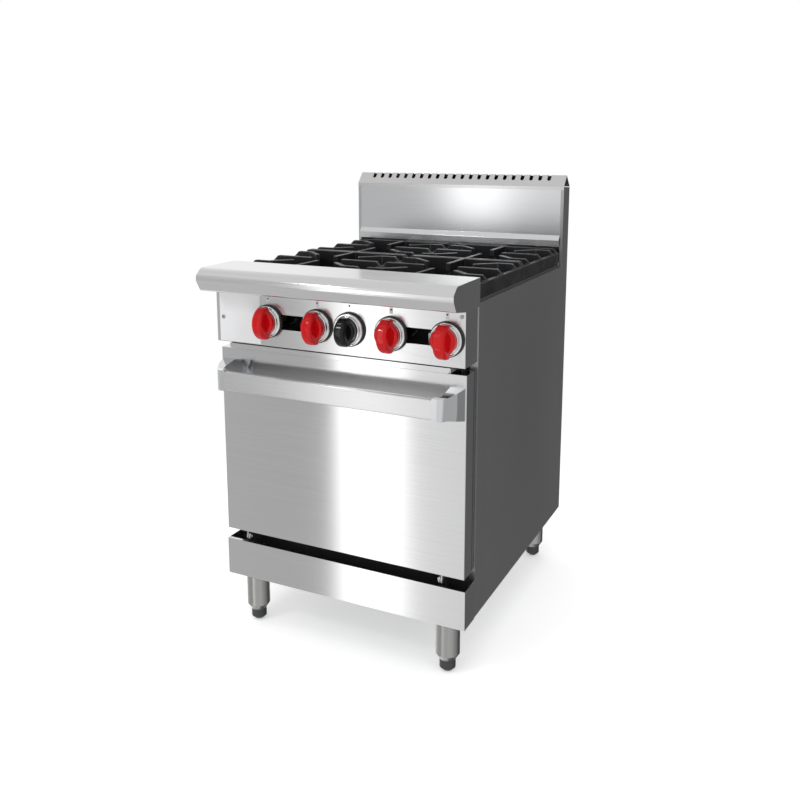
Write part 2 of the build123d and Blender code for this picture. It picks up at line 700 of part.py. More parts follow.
def grate():
    """One cast grate about its own centre, standing on Z = 0."""
    half_x = GRATE_WIDTH / 2
    half_y = GRATE_DEPTH / 2
    rib = GRATE_RIB
    top = GRATE_HEIGHT
    low = GRATE_HEIGHT - GRATE_RIB_DEPTH
    side_top = GRATE_SIDE_HEIGHT
    slope = top - side_top
    frame = block(-half_x, half_x, -half_y, half_y, 0, side_top)
    frame -= block(-half_x + rib, half_x - rib, -half_y + rib, half_y - rib, 0, side_top)

    def end_to_end(y, bottom):
        """A rib across the whole grate with its ends sloped down to the side rails."""
        outline = [
            (-half_x, bottom),
            (-half_x, side_top),
            (-half_x + slope, top),
            (half_x - slope, top),
            (half_x, side_top),
            (half_x, bottom),
        ]
        return Pos(0, y, 0) * rib_along(outline, 0)

    for y in (-half_y + rib / 2, half_y - rib / 2):
        frame += end_to_end(y, 0)
    knee = GRATE_KNEE
    arm = [
        (knee - rib / 2, low),
        (knee - rib / 2, top),
        (half_x - slope, top),
        (half_x, side_top),
        (half_x, low),
    ]
    for y in (-GRATE_RIB_OFFSET, GRATE_RIB_OFFSET):
        frame += Pos(0, y, 0) * rib_along(arm, 0)
        frame += Pos(0, y, 0) * rib_along(arm, 180)

    def finger(tip, root, outer_top):
        """A finger that points at the centre, undercut at its tip."""
        outer = root - (top - outer_top)
        return [
            (tip, top),
            (tip, low + GRATE_TIP_RISE),
            (tip + GRATE_TIP_RISE, low),
            (root, low),
            (root, outer_top),
            (outer, top),
        ]

    across = finger(GRATE_TIP_STRAIGHT, half_x, side_top)
    along = finger(GRATE_TIP_STRAIGHT, half_y, top - TIP_FALL)
    frame += rib_along(across, 0)
    frame += rib_along(across, 180)
    frame += rib_along(along, 90)
    frame += rib_along(along, 270)
    corner = math.hypot(GRATE_KNEE, GRATE_RIB_OFFSET)
    corner_turn = math.degrees(math.atan2(GRATE_RIB_OFFSET, GRATE_KNEE))
    diagonal = finger(GRATE_TIP_DIAGONAL * math.sqrt(2), corner, top - TIP_FALL)
    for turn in (corner_turn, 180 - corner_turn, 180 + corner_turn, -corner_turn):
        frame += rib_along(diagonal, turn)
    return frame


def placed_grate(x, y):
    return Pos(x, y, BOX_TOP_Z) * grate()


def crumb_tray():
    """A shallow pan under the burners with a pull lip below the control panel."""
    half = TRAY_WIDTH / 2
    wall = SHEET
    back = TRAY_Y + TRAY_DEPTH
    top = TRAY_Z + TRAY_HEIGHT
    pan = block(-half, half, TRAY_Y, back, TRAY_Z, top)
    pan -= block(-half + wall, half - wall, TRAY_Y, back - wall, TRAY_Z + wall, top)
    lip = block(-half, half, TRAY_Y - wall, TRAY_Y, TRAY_Z - TRAY_LIP_DROP, top)
    lip = chamfer(lip.edges().filter_by(Axis.Y).group_by(Axis.Z)[0], TRAY_LIP_CORNER)
    return pan + lip


def tray_runner():
    """The right shelf that carries the tray's edge, with a guide beside the tray."""
    half = TRAY_WIDTH / 2
    front = OVEN_Y
    back = BOX_BACK_Y
    shelf = block(half - RUNNER_LAP, INNER, front, back, RUNNER_Z - SHEET, RUNNER_Z)
    guide_x = half + RUNNER_GUIDE_GAP
    guide = block(guide_x, guide_x + SHEET, front, back, RUNNER_Z, RUNNER_Z + RUNNER_GUIDE_HEIGHT)
    return shelf + guide


def tray_runners():
    """Both shelves; the left one is pierced by the oven's gas tube."""
    right, left = both_sides(tray_runner())
    radius = OVEN_TUBE_RADIUS + TUBE_HOLE_MARGIN
    return [right, left - rod_z(radius, OVEN_TUBE_X, oven_tube_drop_y(), RUNNER_Z - SHEET, RUNNER_Z)]


# Gas train


def manifold_run(wall):
    """The pipe's path as a solid rod, smaller all round by a wall."""
    radius = PIPE_RADIUS - wall
    left = -MANIFOLD_LEFT_REACH + wall
    run = rod_x(radius, left, SUPPLY_X, MANIFOLD_Y, MANIFOLD_Z)
    run += Pos(SUPPLY_X, MANIFOLD_Y, MANIFOLD_Z) * Sphere(radius)
    return run + rod_y(radius, SUPPLY_X, MANIFOLD_Y, BACK_Y + INLET_REACH, MANIFOLD_Z)


def gas_manifold():
    """The pipe behind the knobs, turned back along the right side to the collared inlet."""
    collar = rod_y(COLLAR_RADIUS, SUPPLY_X, BACK_Y, BACK_Y + COLLAR_THICKNESS, MANIFOLD_Z)
    return manifold_run(0) + collar - manifold_run(PIPE_WALL)


def valve_nose():
    """How far behind the panel's face a valve or the thermostat starts, as a Y place."""
    return PANEL_Y + VALVE_SETBACK


def stem_bore(x):
    nose = valve_nose()
    return rod_y(STEM_RADIUS + STEM_CLEARANCE, x, nose, nose + STEM_ENTRY + BORE_EXTRA, KNOB_Z)


def neck_to_manifold(x):
    """A short neck down to the manifold, shaped to sit on the pipe."""
    neck = rod_z(VALVE_NECK_RADIUS, x, MANIFOLD_Y, MANIFOLD_Z, KNOB_Z)
    return neck - manifold_run(0)


def burner_valve(x):
    body = rod_y(VALVE_RADIUS, x, valve_nose(), VALVE_BACK_Y, KNOB_Z)
    hood = rod_y(ORIFICE_RADIUS, x, VALVE_BACK_Y, VALVE_BACK_Y + ORIFICE_LENGTH, KNOB_Z)
    return body + hood + neck_to_manifold(x) - stem_bore(x)


def thermostat():
    half = THERMOSTAT_WIDTH / 2
    tall = THERMOSTAT_HEIGHT / 2
    x = THERMOSTAT_X
    body = block(x - half, x + half, valve_nose(), VALVE_BACK_Y, KNOB_Z - tall, KNOB_Z + tall)
    return body + neck_to_manifold(x) - stem_bore(x)


def oven_tube_drop_y():
    """Where the oven's gas tube runs down, behind the front frame."""
    return BOX_Y + SIDE_FLANGE


def oven_gas_tube():
    """From the thermostat to the safety valve: across, down the left side and back in."""
    start_x = THERMOSTAT_X + OUTLET_ASIDE
    start_z = KNOB_Z - OUTLET_DROP
    gap_y = BODY_Y + SHEET
    under_box_z = (TRAY_Z + TRAY_HEIGHT + BOX_BOTTOM_Z) / 2
    drop_y = oven_tube_drop_y()
    valve_z = OVEN_BURNER_Z
    path = FilletPolyline(
        (start_x, VALVE_BACK_Y, start_z),
        (start_x, gap_y, start_z),
        (start_x, gap_y, under_box_z),
        (OVEN_TUBE_X, gap_y, under_box_z),
        (OVEN_TUBE_X, drop_y, under_box_z),
        (OVEN_TUBE_X, drop_y, valve_z),
        (-SAFETY_VALVE_LEFT, drop_y, valve_z),
        radius=OVEN_TUBE_BEND,
    )
    section = Plane(origin=path @ 0, z_dir=path % 0) * Circle(OVEN_TUBE_RADIUS)
    return sweep(section, path=path)


def safety_valve():
    """The oven's gas safety valve, with its orifice in line with the oven burner."""
    back = oven_tube_drop_y() + SAFETY_VALVE_LEAD
    front = back - SAFETY_VALVE_DEPTH
    half = SAFETY_VALVE_HEIGHT / 2
    body = block(
        -SAFETY_VALVE_LEFT, SAFETY_VALVE_RIGHT, front, back, OVEN_BURNER_Z - half, OVEN_BURNER_Z + half
    )
    return body + rod_y(ORIFICE_RADIUS, 0, back, back + ORIFICE_LENGTH / 2, OVEN_BURNER_Z)


def pilot_xs():
    return [BURNER_KNOB_XS[0] + PILOT_OFFSET, BURNER_KNOB_XS[2] + PILOT_OFFSET]


def pilot_tube(x):
    """A thin tube back from the manifold to a pilot head between two burners."""
    tube = rod_y(PILOT_TUBE_RADIUS, x, MANIFOLD_Y, CROSS_Y, KNOB_Z)
    tube += rod_z(PILOT_TUBE_RADIUS, x, MANIFOLD_Y, MANIFOLD_Z, KNOB_Z)
    tube += Pos(x, MANIFOLD_Y, KNOB_Z) * Sphere(PILOT_TUBE_RADIUS)
    tube += rod_z(PILOT_HEAD_RADIUS, x, CROSS_Y, KNOB_Z - PILOT_TUBE_RADIUS, CUP_Z)
    return tube - manifold_run(0)


# Top burners


def burner_body(valve_x, x, y):
    """A cast burner: mixing tube back from the valve, across to the burner, and its cup."""

    def passage(radius, cup_radius, base):
        mouth_end = VENTURI_Y + VENTURI_MOUTH_LENGTH
        tube = rod_y(radius, valve_x, VENTURI_Y, y, KNOB_Z)
        flare = Cone(VENTURI_MOUTH_RADIUS - (VENTURI_RADIUS - radius), radius, VENTURI_MOUTH_LENGTH)
        tube += Pos(valve_x, (VENTURI_Y + mouth_end) / 2, KNOB_Z) * Rot(-90, 0, 0) * flare
        tube += Pos(valve_x, y, KNOB_Z) * Sphere(radius)
        tube += rod_x(radius, min(valve_x, x), max(valve_x, x), y, KNOB_Z)
        tube += Pos(x, y, KNOB_Z) * Sphere(radius)
        tube += rod_z(radius, x, y, KNOB_Z, HEAD_Z)
        return tube + rod_z(cup_radius, x, y, base, HEAD_Z)

    outer = passage(VENTURI_RADIUS, CUP_RADIUS, CUP_Z)
    inner_radius = VENTURI_RADIUS - VENTURI_WALL
    return outer - passage(inner_radius, CUP_RADIUS - VENTURI_WALL, CUP_Z + VENTURI_WALL)


def burner_places():
    """Valve X with burner X and Y: each pair's left valve feeds the front burner."""
    front_y, back_y = GRATE_YS
    return [
        (BURNER_KNOB_XS[0], -GRATE_X, front_y),
        (BURNER_KNOB_XS[1], -GRATE_X, back_y),
        (BURNER_KNOB_XS[2], GRATE_X, front_y),
        (BURNER_KNOB_XS[3], GRATE_X, back_y),
    ]


def burner_head():
    """A lift-off cap ring with slotted ports round its rim, standing on Z = 0."""
    head = turned(
        [
            (0, 0),
            (HEAD_RADIUS - HEAD_FOOT_EDGE, 0),
            (HEAD_RADIUS, HEAD_FOOT_EDGE),
            (HEAD_RADIUS, HEAD_HEIGHT - HEAD_TOP_FALL),
            (HEAD_RADIUS - HEAD_TOP_SLOPE, HEAD_HEIGHT),
            (HEAD_WELL_RADIUS, HEAD_HEIGHT),
            (HEAD_WELL_RADIUS - HEAD_WELL_SLOPE, HEAD_HEIGHT - HEAD_WELL_DEPTH),
            (0, HEAD_HEIGHT - HEAD_WELL_DEPTH),
        ]
    )
    port_z = (HEAD_FOOT_EDGE + HEAD_HEIGHT - HEAD_TOP_FALL) / 2
    port = Pos(HEAD_RADIUS, 0, port_z) * Box(2 * PORT_DEPTH, PORT_WIDTH, PORT_HEIGHT)
    for index in range(PORT_COUNT):
        head -= Rot(0, 0, index * 360 / PORT_COUNT) * port
    return head


# Oven


def oven_liner():
    """The oven's inner box, open in front, with the burner opening and the flue slot."""
    wall = SHEET
    box = block(
        -OVEN_HALF - wall,
        OVEN_HALF + wall,
        OVEN_Y,
        OVEN_BACK_Y + wall,
        OVEN_Z - wall,
        OVEN_TOP_Z + wall,
    )
    box -= block(-OVEN_HALF, OVEN_HALF, OVEN_Y, OVEN_BACK_Y, OVEN_Z, OVEN_TOP_Z)
    box -= block(
        -OPENING_HALF, OPENING_HALF, OPENING_Y, OPENING_BACK_Y, OVEN_Z - wall, OVEN_Z
    )
    flue_half = DUCT_WIDTH / 2 - DUCT_SHEET
    flue_top = OVEN_TOP_Z - wall
    flue_low = flue_top - FLUE_SLOT_HEIGHT
    return box - block(-flue_half, flue_half, OVEN_BACK_Y, OVEN_BACK_Y + wall, flue_low, flue_top)


def oven_deck():
    """The loose oven bottom, slotted along both sides for the heat."""
    half = OVEN_HALF - DECK_GAP
    front = OVEN_Y + DECK_GAP
    back = OVEN_BACK_Y - DECK_GAP
    deck = block(-half, half, front, back, OVEN_Z, OVEN_Z + DECK_THICKNESS)
    slot_x = OPENING_HALF - DECK_SLOT_WIDTH
    pitch = (OPENING_BACK_Y - OPENING_Y) / DECK_SLOTS
    for index in range(DECK_SLOTS):
        y = OPENING_Y + pitch * (index + 0.5)
        for x in (-slot_x, slot_x):
            slot = Box(DECK_SLOT_WIDTH, DECK_SLOT_LENGTH, 2 * DECK_THICKNESS)
            deck -= Pos(x, y, OVEN_Z + DECK_THICKNESS / 2) * slot
    return deck


def fire_box():
    """The pan round the oven burner, hung under the oven floor."""
    wall = SHEET
    top = OVEN_Z - wall
    low = top - FIRE_BOX_HEIGHT
    half = OPENING_HALF + wall
    box = block(-half, half, OPENING_Y - wall, OPENING_BACK_Y + wall, low, top)
    box -= block(-OPENING_HALF, OPENING_HALF, OPENING_Y, OPENING_BACK_Y, low + wall, top)
    hole = BURNER_PIPE_RADIUS + HOLE_MARGIN
    return box - rod_y(hole, 0, OPENING_Y - wall, OPENING_Y, OVEN_BURNER_Z)


def oven_burner():
    """A pipe burner through the fire box's front, with two rows of ports and a closed end."""
    front = OPENING_Y - 2 * SHEET
    back = OPENING_BACK_Y - FLOOR_END_LEDGE
    wall = BURNER_WALL
    pipe = rod_y(BURNER_PIPE_RADIUS, 0, front, back, OVEN_BURNER_Z)
    pipe -= rod_y(BURNER_PIPE_RADIUS - wall, 0, front, back - wall, OVEN_BURNER_Z)
    length = back - OPENING_Y - 2 * BURNER_PIPE_RADIUS
    for index in range(BURNER_PORTS):
        y = OPENING_Y + BURNER_PIPE_RADIUS + length * (index + 0.5) / BURNER_PORTS
        pipe -= rod_x(BURNER_PORT_RADIUS, -BURNER_PIPE_RADIUS, BURNER_PIPE_RADIUS, y, OVEN_BURNER_Z)
    return pipe


def flame_baffle():
    """A shallow roof over the oven burner, on four legs on the fire box's floor."""
    half = BAFFLE_WIDTH / 2
    eave = OVEN_BURNER_Z + BURNER_PIPE_RADIUS + BAFFLE_GAP
    front = OPENING_Y + BURNER_PIPE_RADIUS
    back = OPENING_BACK_Y - BURNER_PIPE_RADIUS
    thick = FRAME_SHEET
    outline = [
        (-half, eave),
        (0, eave + BAFFLE_RISE),
        (half, eave),
        (half, eave + thick),
        (0, eave + BAFFLE_RISE + thick),
        (-half, eave + thick),
    ]
    face = make_face(Polyline(*outline, close=True))
    roof = Pos(0, back, 0) * extrude(Plane.XZ * face, amount=back - front)
    floor = OVEN_Z - FIRE_BOX_HEIGHT
    top = eave + thick
    inset = BAFFLE_LEG_INSET
    for x in (-half + inset, half - inset):
        for y in (front + inset, back - inset):
            roof += Pos(x, y, (floor + top) / 2) * Box(BAFFLE_LEG_WIDTH, thick, top - floor)
    return roof


def oven_insulation():
    """The blanket over the oven's top, sides and back."""
    liner = OVEN_HALF + SHEET
    half = liner + INSULATION_SIDE
    back = OVEN_BACK_Y + SHEET
    roof = OVEN_TOP_Z + SHEET
    wrap = block(-half, half, OVEN_Y, back + INSULATION_BACK, OVEN_Z, roof + INSULATION_TOP)
    wrap -= block(-liner, liner, OVEN_Y, back, OVEN_Z, roof)
    duct = DUCT_WIDTH / 2
    return wrap - block(-duct, duct, back, back + INSULATION_BACK, duct_inlet_low(), duct_inlet_top())


def duct_inlet_top():
    return OVEN_TOP_Z + SHEET + DUCT_SHEET


def duct_inlet_low():
    return duct_inlet_top() - DUCT_INLET_HEIGHT


def flue_duct():
    """The duct from the oven's back up into the riser."""
    back_wall = OVEN_BACK_Y + SHEET
    half = DUCT_WIDTH / 2
    low = duct_inlet_low()
    rise = RISER_TOP_Z - SIDE_FLANGE
    duct = block(-half, half, back_wall, DUCT_BACK_Y, low, duct_inlet_top())
    duct += block(-half, half, DUCT_Y, DUCT_BACK_Y, low, rise)
    wall = DUCT_SHEET
    hollow = block(
        -half + wall, half - wall, back_wall, DUCT_BACK_Y - wall, low + wall, duct_inlet_top() - wall
    )
    hollow += block(-half + wall, half - wall, DUCT_Y + wall, DUCT_BACK_Y - wall, low + wall, rise)
    return duct - hollow


def door_gasket():
    """The seal round the oven mouth, on the front frame."""
    face = BODY_Y - DOOR_BODY_GAP + SEAL_GAP
    inner = OVEN_HALF + SEAL_OFFSET
    outer = inner + SEAL_WIDTH
    low = OVEN_Z - SEAL_OFFSET
    high = OVEN_TOP_Z + SEAL_OFFSET
    ring = block(-outer, outer, face, FRAME_Y, low - SEAL_WIDTH, high + SEAL_WIDTH)
    return ring - block(-inner, inner, face, FRAME_Y, low, high)


def guide_levels():
    return [OVEN_Z + GUIDE_FIRST + index * GUIDE_PITCH for index in range(GUIDE_LEVELS)]


def rack_guide():
    """The right wire ladder on the oven wall."""
    post_x = OVEN_HALF - WIRE_RADIUS - GUIDE_WALL_GAP
    rail_x = post_x - GUIDE_RAIL_INSET
    front = OVEN_Y + GUIDE_END_GAP
    back = OVEN_BACK_Y - GUIDE_END_GAP
    levels = guide_levels()
    low = levels[0] - GUIDE_PITCH / 2
    high = levels[-1] + GUIDE_PITCH / 2
    guide = rod_z(WIRE_RADIUS, post_x, (front + back) / 2, low, high)
    for y in (front + GUIDE_POST_INSET, back - GUIDE_POST_INSET):
        guide += rod_z(WIRE_RADIUS, post_x, y, low, high)
    for z in levels:
        guide += rod_y(WIRE_RADIUS, rail_x, front, back, z)
    return guide


def oven_rack():
    """A wire rack: a heavy rail all round and thin bars from front to back."""
    reach = OVEN_HALF - RACK_WALL_GAP - RACK_RAIL_RADIUS
    front = OVEN_Y + RACK_FRONT_GAP + RACK_RAIL_RADIUS
    back = OVEN_BACK_Y - RACK_REAR_GAP
    z = guide_levels()[RACK_LEVEL] + WIRE_RADIUS + RACK_RAIL_RADIUS + RACK_LIFT
    rack = rod_x(RACK_RAIL_RADIUS, -reach, reach, front, z)
    rack += rod_x(RACK_RAIL_RADIUS, -reach, reach, back, z)
    rack += rod_x(RACK_BAR_RADIUS, -reach, reach, (front + back) / 2, z)
    for x in (-reach, reach):
        rack += rod_y(RACK_RAIL_RADIUS, x, front, back, z)
        for y in (front, back):
            rack += Pos(x, y, z) * Sphere(RACK_RAIL_RADIUS)
    bars = int(2 * reach / RACK_BAR_PITCH)
    for index in range(1, bars):
        x = -reach + index * 2 * reach / bars
        rack += rod_y(RACK_BAR_RADIUS, x, front, back, z)
    return rack


# Oven door


def door_skin():
    """The outer pan of the door."""
    half = HALF - DOOR_SIDE_GAP
    back = DOOR_Y + DOOR_SKIN_DEPTH
    pan = block(-half, half, DOOR_Y, back, DOOR_BOTTOM_Z, DOOR_TOP_Z)
    pan = fillet(pan.edges().group_by(Axis.Y)[0], DOOR_EDGE_RADIUS)
    wall = SHEET
    return pan - block(
        -half + wall, half - wall, DOOR_Y + wall, back, DOOR_BOTTOM_Z + wall, DOOR_TOP_Z - wall
    )


def door_liner():
    """The inner pan of the door, with a plug pressed out into the oven's mouth."""
    half = HALF - DOOR_SIDE_GAP - SHEET
    low = DOOR_BOTTOM_Z + SHEET
    high = DOOR_TOP_Z - SHEET
    front = DOOR_Y + DOOR_SKIN_DEPTH - DOOR_LINER_LAP
    back = DOOR_Y + DOOR_THICKNESS
    wall = SHEET
    pan = block(-half, half, front, back, low, high)
    pan -= block(-half + wall, half - wall, front, back - wall, low + wall, high - wall)
    plug_half = OVEN_HALF - PLUG_GAP
    plug_low = OVEN_Z + PLUG_GAP
    plug_high = OVEN_TOP_Z - PLUG_GAP
    plug_back = back + PLUG_DEPTH
    pan += block(-plug_half, plug_half, back - wall, plug_back, plug_low, plug_high)
    return pan - block(
        -plug_half + wall,
        plug_half - wall,
        back - wall,
        plug_back - wall,
        plug_low + wall,
        plug_high - wall,
    )


def door_insulation():
    """The blanket inside the door."""
    gap = 2 * SHEET + INSULATION_GAP
    half = HALF - DOOR_SIDE_GAP - gap
    back = DOOR_Y + DOOR_THICKNESS - SHEET
    low = DOOR_BOTTOM_Z + gap
    return block(-half, half, DOOR_Y + SHEET, back, low, DOOR_TOP_Z - gap)


def handle_bar():
    """The flat pull bar."""
    middle = DOOR_TOP_Z - HANDLE_DROP
    half = HANDLE_BAR_HEIGHT / 2
    front = DOOR_Y - HANDLE_STANDOFF
    reach = HANDLE_LENGTH / 2
    bar = block(-reach, reach, front, front + HANDLE_BAR_THICKNESS, middle - half, middle + half)
    return fillet(bar.edges().filter_by(Axis.X), HANDLE_BAR_RADIUS)


def handle_bracket():
    """The right end casting: from the bar's end out and back to the door."""
    bar_end = HANDLE_LENGTH / 2
    front = DOOR_Y - HANDLE_STANDOFF
    bar_back = front + HANDLE_BAR_THICKNESS + BRACKET_LIP
    corner_x = bar_end + BRACKET_FRONT_REACH
    outer = bar_end + BRACKET_OUTER_REACH
    foot = outer - BRACKET_FOOT_WIDTH
    outside = FilletPolyline(
        (bar_end, front),
        (corner_x, front),
        (outer - BRACKET_LEAN, DOOR_Y - BRACKET_CHEEK),
        (outer, DOOR_Y),
        radius=(BRACKET_CORNER, BRACKET_CORNER),
    )
    inside = FilletPolyline(
        (foot, DOOR_Y),
        (foot, bar_back),
        (bar_end, bar_back),
        radius=BRACKET_INNER_CORNER,
    )
    joins = [Line((outer, DOOR_Y), (foot, DOOR_Y)), Line((bar_end, bar_back), (bar_end, front))]
    plan = make_face(outside.edges() + inside.edges() + joins)
    middle = DOOR_TOP_Z - HANDLE_DROP
    half = HANDLE_BAR_HEIGHT / 2 + BRACKET_LIP
    wide = half + BRACKET_FLARE
    body = Pos(0, 0, middle - wide) * extrude(plan, amount=2 * wide)
    side_view = [
        (front, middle - half),
        (bar_back, middle - half),
        (DOOR_Y, middle - wide),
        (DOOR_Y, middle + wide),
        (bar_back, middle + half),
        (front, middle + half),
    ]
    return body & profile_x(side_view, bar_end, outer)


def hinge_eye(x0, x1):
    return rod_x(HINGE_EYE_RADIUS, x0, x1, HINGE_Y, HINGE_Z)


def hinge_bracket():
    """The right fixed hinge plate, on the oven's front frame, with its bore."""
    x0 = HINGE_X - HINGE_PLATE / 2
    x1 = HINGE_X + HINGE_PLATE / 2
    top = HINGE_Z + HINGE_EYE_RADIUS
    outline = [
        (HINGE_Y, HINGE_Z - HINGE_EYE_RADIUS),
        (FRAME_Y, top - HINGE_BRACKET_HEIGHT),
        (FRAME_Y, top),
        (HINGE_Y, top),
    ]
    plate = profile_x(outline, x0, x1) + hinge_eye(x0, x1)
    bore = HINGE_PIN_RADIUS + HINGE_PIN_CLEARANCE
    return plate - rod_x(bore, x0, x1, HINGE_Y, HINGE_Z)


def door_hinge_arm():
    """The right moving hinge: a foot under the door, an eye and the pin."""
    x0 = HINGE_X + HINGE_PLATE / 2 + HINGE_PLATE_GAP
    x1 = x0 + HINGE_PLATE
    foot_low = DOOR_BOTTOM_Z - HINGE_FOOT_THICKNESS
    foot_y = DOOR_Y + HINGE_PLATE
    foot = block(x0, x0 + HINGE_FOOT_WIDTH, foot_y, foot_y + HINGE_FOOT_DEPTH, foot_low, DOOR_BOTTOM_Z)
    half = HINGE_EYE_RADIUS
    lug = block(x0, x1, HINGE_Y - half + LUG_INSET, HINGE_Y + half, HINGE_Z, DOOR_BOTTOM_Z)
    pin_start = HINGE_X - HINGE_PLATE / 2 - HINGE_PIN_END
    pin = rod_x(HINGE_PIN_RADIUS, pin_start, x1, HINGE_Y, HINGE_Z)
    return foot + lug + hinge_eye(x0, x1) + pin


# Legs


def leg(x, y):
    """A tube leg with a tapered end, bored for the foot's stem, under a mounting plate."""
    low = FOOT_HEIGHT + FOOT_SHOULDER_GAP
    top = BODY_BOTTOM_Z - LEG_PLATE_THICKNESS
    bore = FOOT_STEM_RADIUS + FOOT_CLEARANCE
    body = turned(
        [
            (bore, low),
            (LEG_NECK_RADIUS, low),
            (LEG_RADIUS, low + LEG_TAPER),
            (LEG_RADIUS, top),
            (LEG_RADIUS - LEG_WALL, top),
            (LEG_RADIUS - LEG_WALL, low + LEG_PLUG),
            (bore, low + LEG_PLUG),
        ]
    )
    plate = Pos(0, 0, top + LEG_PLATE_THICKNESS / 2) * Box(LEG_PLATE, LEG_PLATE, LEG_PLATE_THICKNESS)
    return Pos(x, y, 0) * (body + plate)


def foot(x, y):
    """The adjustable foot with its stem."""
    body = turned(
        [
            (0, 0),
            (FOOT_RADIUS - FOOT_CHAMFER, 0),
            (FOOT_RADIUS, FOOT_CHAMFER),
            (FOOT_RADIUS, FOOT_HEIGHT),
            (FOOT_STEM_RADIUS, FOOT_HEIGHT),
            (FOOT_STEM_RADIUS, FOOT_HEIGHT + FOOT_STEM_LENGTH),
            (0, FOOT_HEIGHT + FOOT_STEM_LENGTH),
        ]
    )
    return Pos(x, y, 0) * body


def leg_places():
    side = HALF - LEG_SIDE_INSET
    front = DOOR_Y + LEG_FRONT
    rear = BACK_Y - LEG_REAR_INSET
    return {
        "front_left": (-side, front),
        "front_right": (side, front),
        "rear_left": (-side, rear),
        "rear_right": (side, rear),
    }


# Riser


def riser_panel():
    """The riser's front sheet, stepped forward in a band at the bottom."""
    band_y = RISER_Y - RISER_BAND_STEP
    band_top = LEDGE_TOP_Z + RISER_BAND_HEIGHT
    path = Polyline(
        (RISER_Y, RISER_TOP_Z),
        (RISER_Y, band_top + RISER_BAND_SLOPE),
        (band_y, band_top),
        (band_y, LEDGE_TOP_Z),
        (RISER_Y, LEDGE_TOP_Z),
    )
    reach = HALF - RISER_END_FLANGE
    return bent_sheet(path, SHEET, Side.LEFT, -reach, reach)


def riser_shell():
    """The riser's back and ends, with narrow flanges beside the front sheet."""
    box = block(-HALF, HALF, RISER_Y, BACK_Y, SIDE_TOP_Z, RISER_TOP_Z)
    box -= block(-INNER, INNER, RISER_Y + SHEET, BACK_Y - SHEET, SIDE_TOP_Z, RISER_TOP_Z)
    mouth = HALF - RISER_END_FLANGE
    return box - block(-mouth, mouth, RISER_Y, RISER_Y + SHEET, SIDE_TOP_Z, RISER_TOP_Z)


def riser_cap():
    """The peaked cap, open at both ends, with a row of vents near its ridge."""
    front = RISER_Y - SHEET
    ridge_y = RISER_Y + CAP_RIDGE_SETBACK
    eave_z = RISER_TOP_Z + 2 * SHEET
    path = Polyline(
        (front, RISER_TOP_Z - CAP_LIP),
        (front, eave_z),
        (ridge_y, RIDGE_Z),
        (BACK_Y, eave_z),
    )
    cap = bent_sheet(path, SHEET, Side.RIGHT, -HALF, HALF)
    slope = math.atan2(RIDGE_Z - eave_z, ridge_y - front)
    vent_y = ridge_y - VENT_FROM_RIDGE * math.cos(slope)
    vent_z = RIDGE_Z - VENT_FROM_RIDGE * math.sin(slope)
    oval = Rot(0, 0, 90) * SlotOverall(VENT_LENGTH, VENT_WIDTH)
    vent = Rot(math.degrees(slope), 0, 0) * extrude(oval, amount=2 * SHEET, both=True)
    pitch = (WIDTH - 2 * VENT_END_INSET) / (VENT_COUNT - 1)
    for index in range(VENT_COUNT):
        x = (index - (VENT_COUNT - 1) / 2) * pitch
        cap -= Pos(x, vent_y, vent_z) * vent
    return cap


def save(name, shape):
    """Writes one node; a list of solids becomes a group."""
    solids = shape if isinstance(shape, list) else [shape]
    pieces = []
    for item in solids:
        pieces += item.solids()
    whole = pieces[0] if len(pieces) == 1 else Compound(children=pieces)
    export_step(whole, os.path.join("parts", name + ".step"))


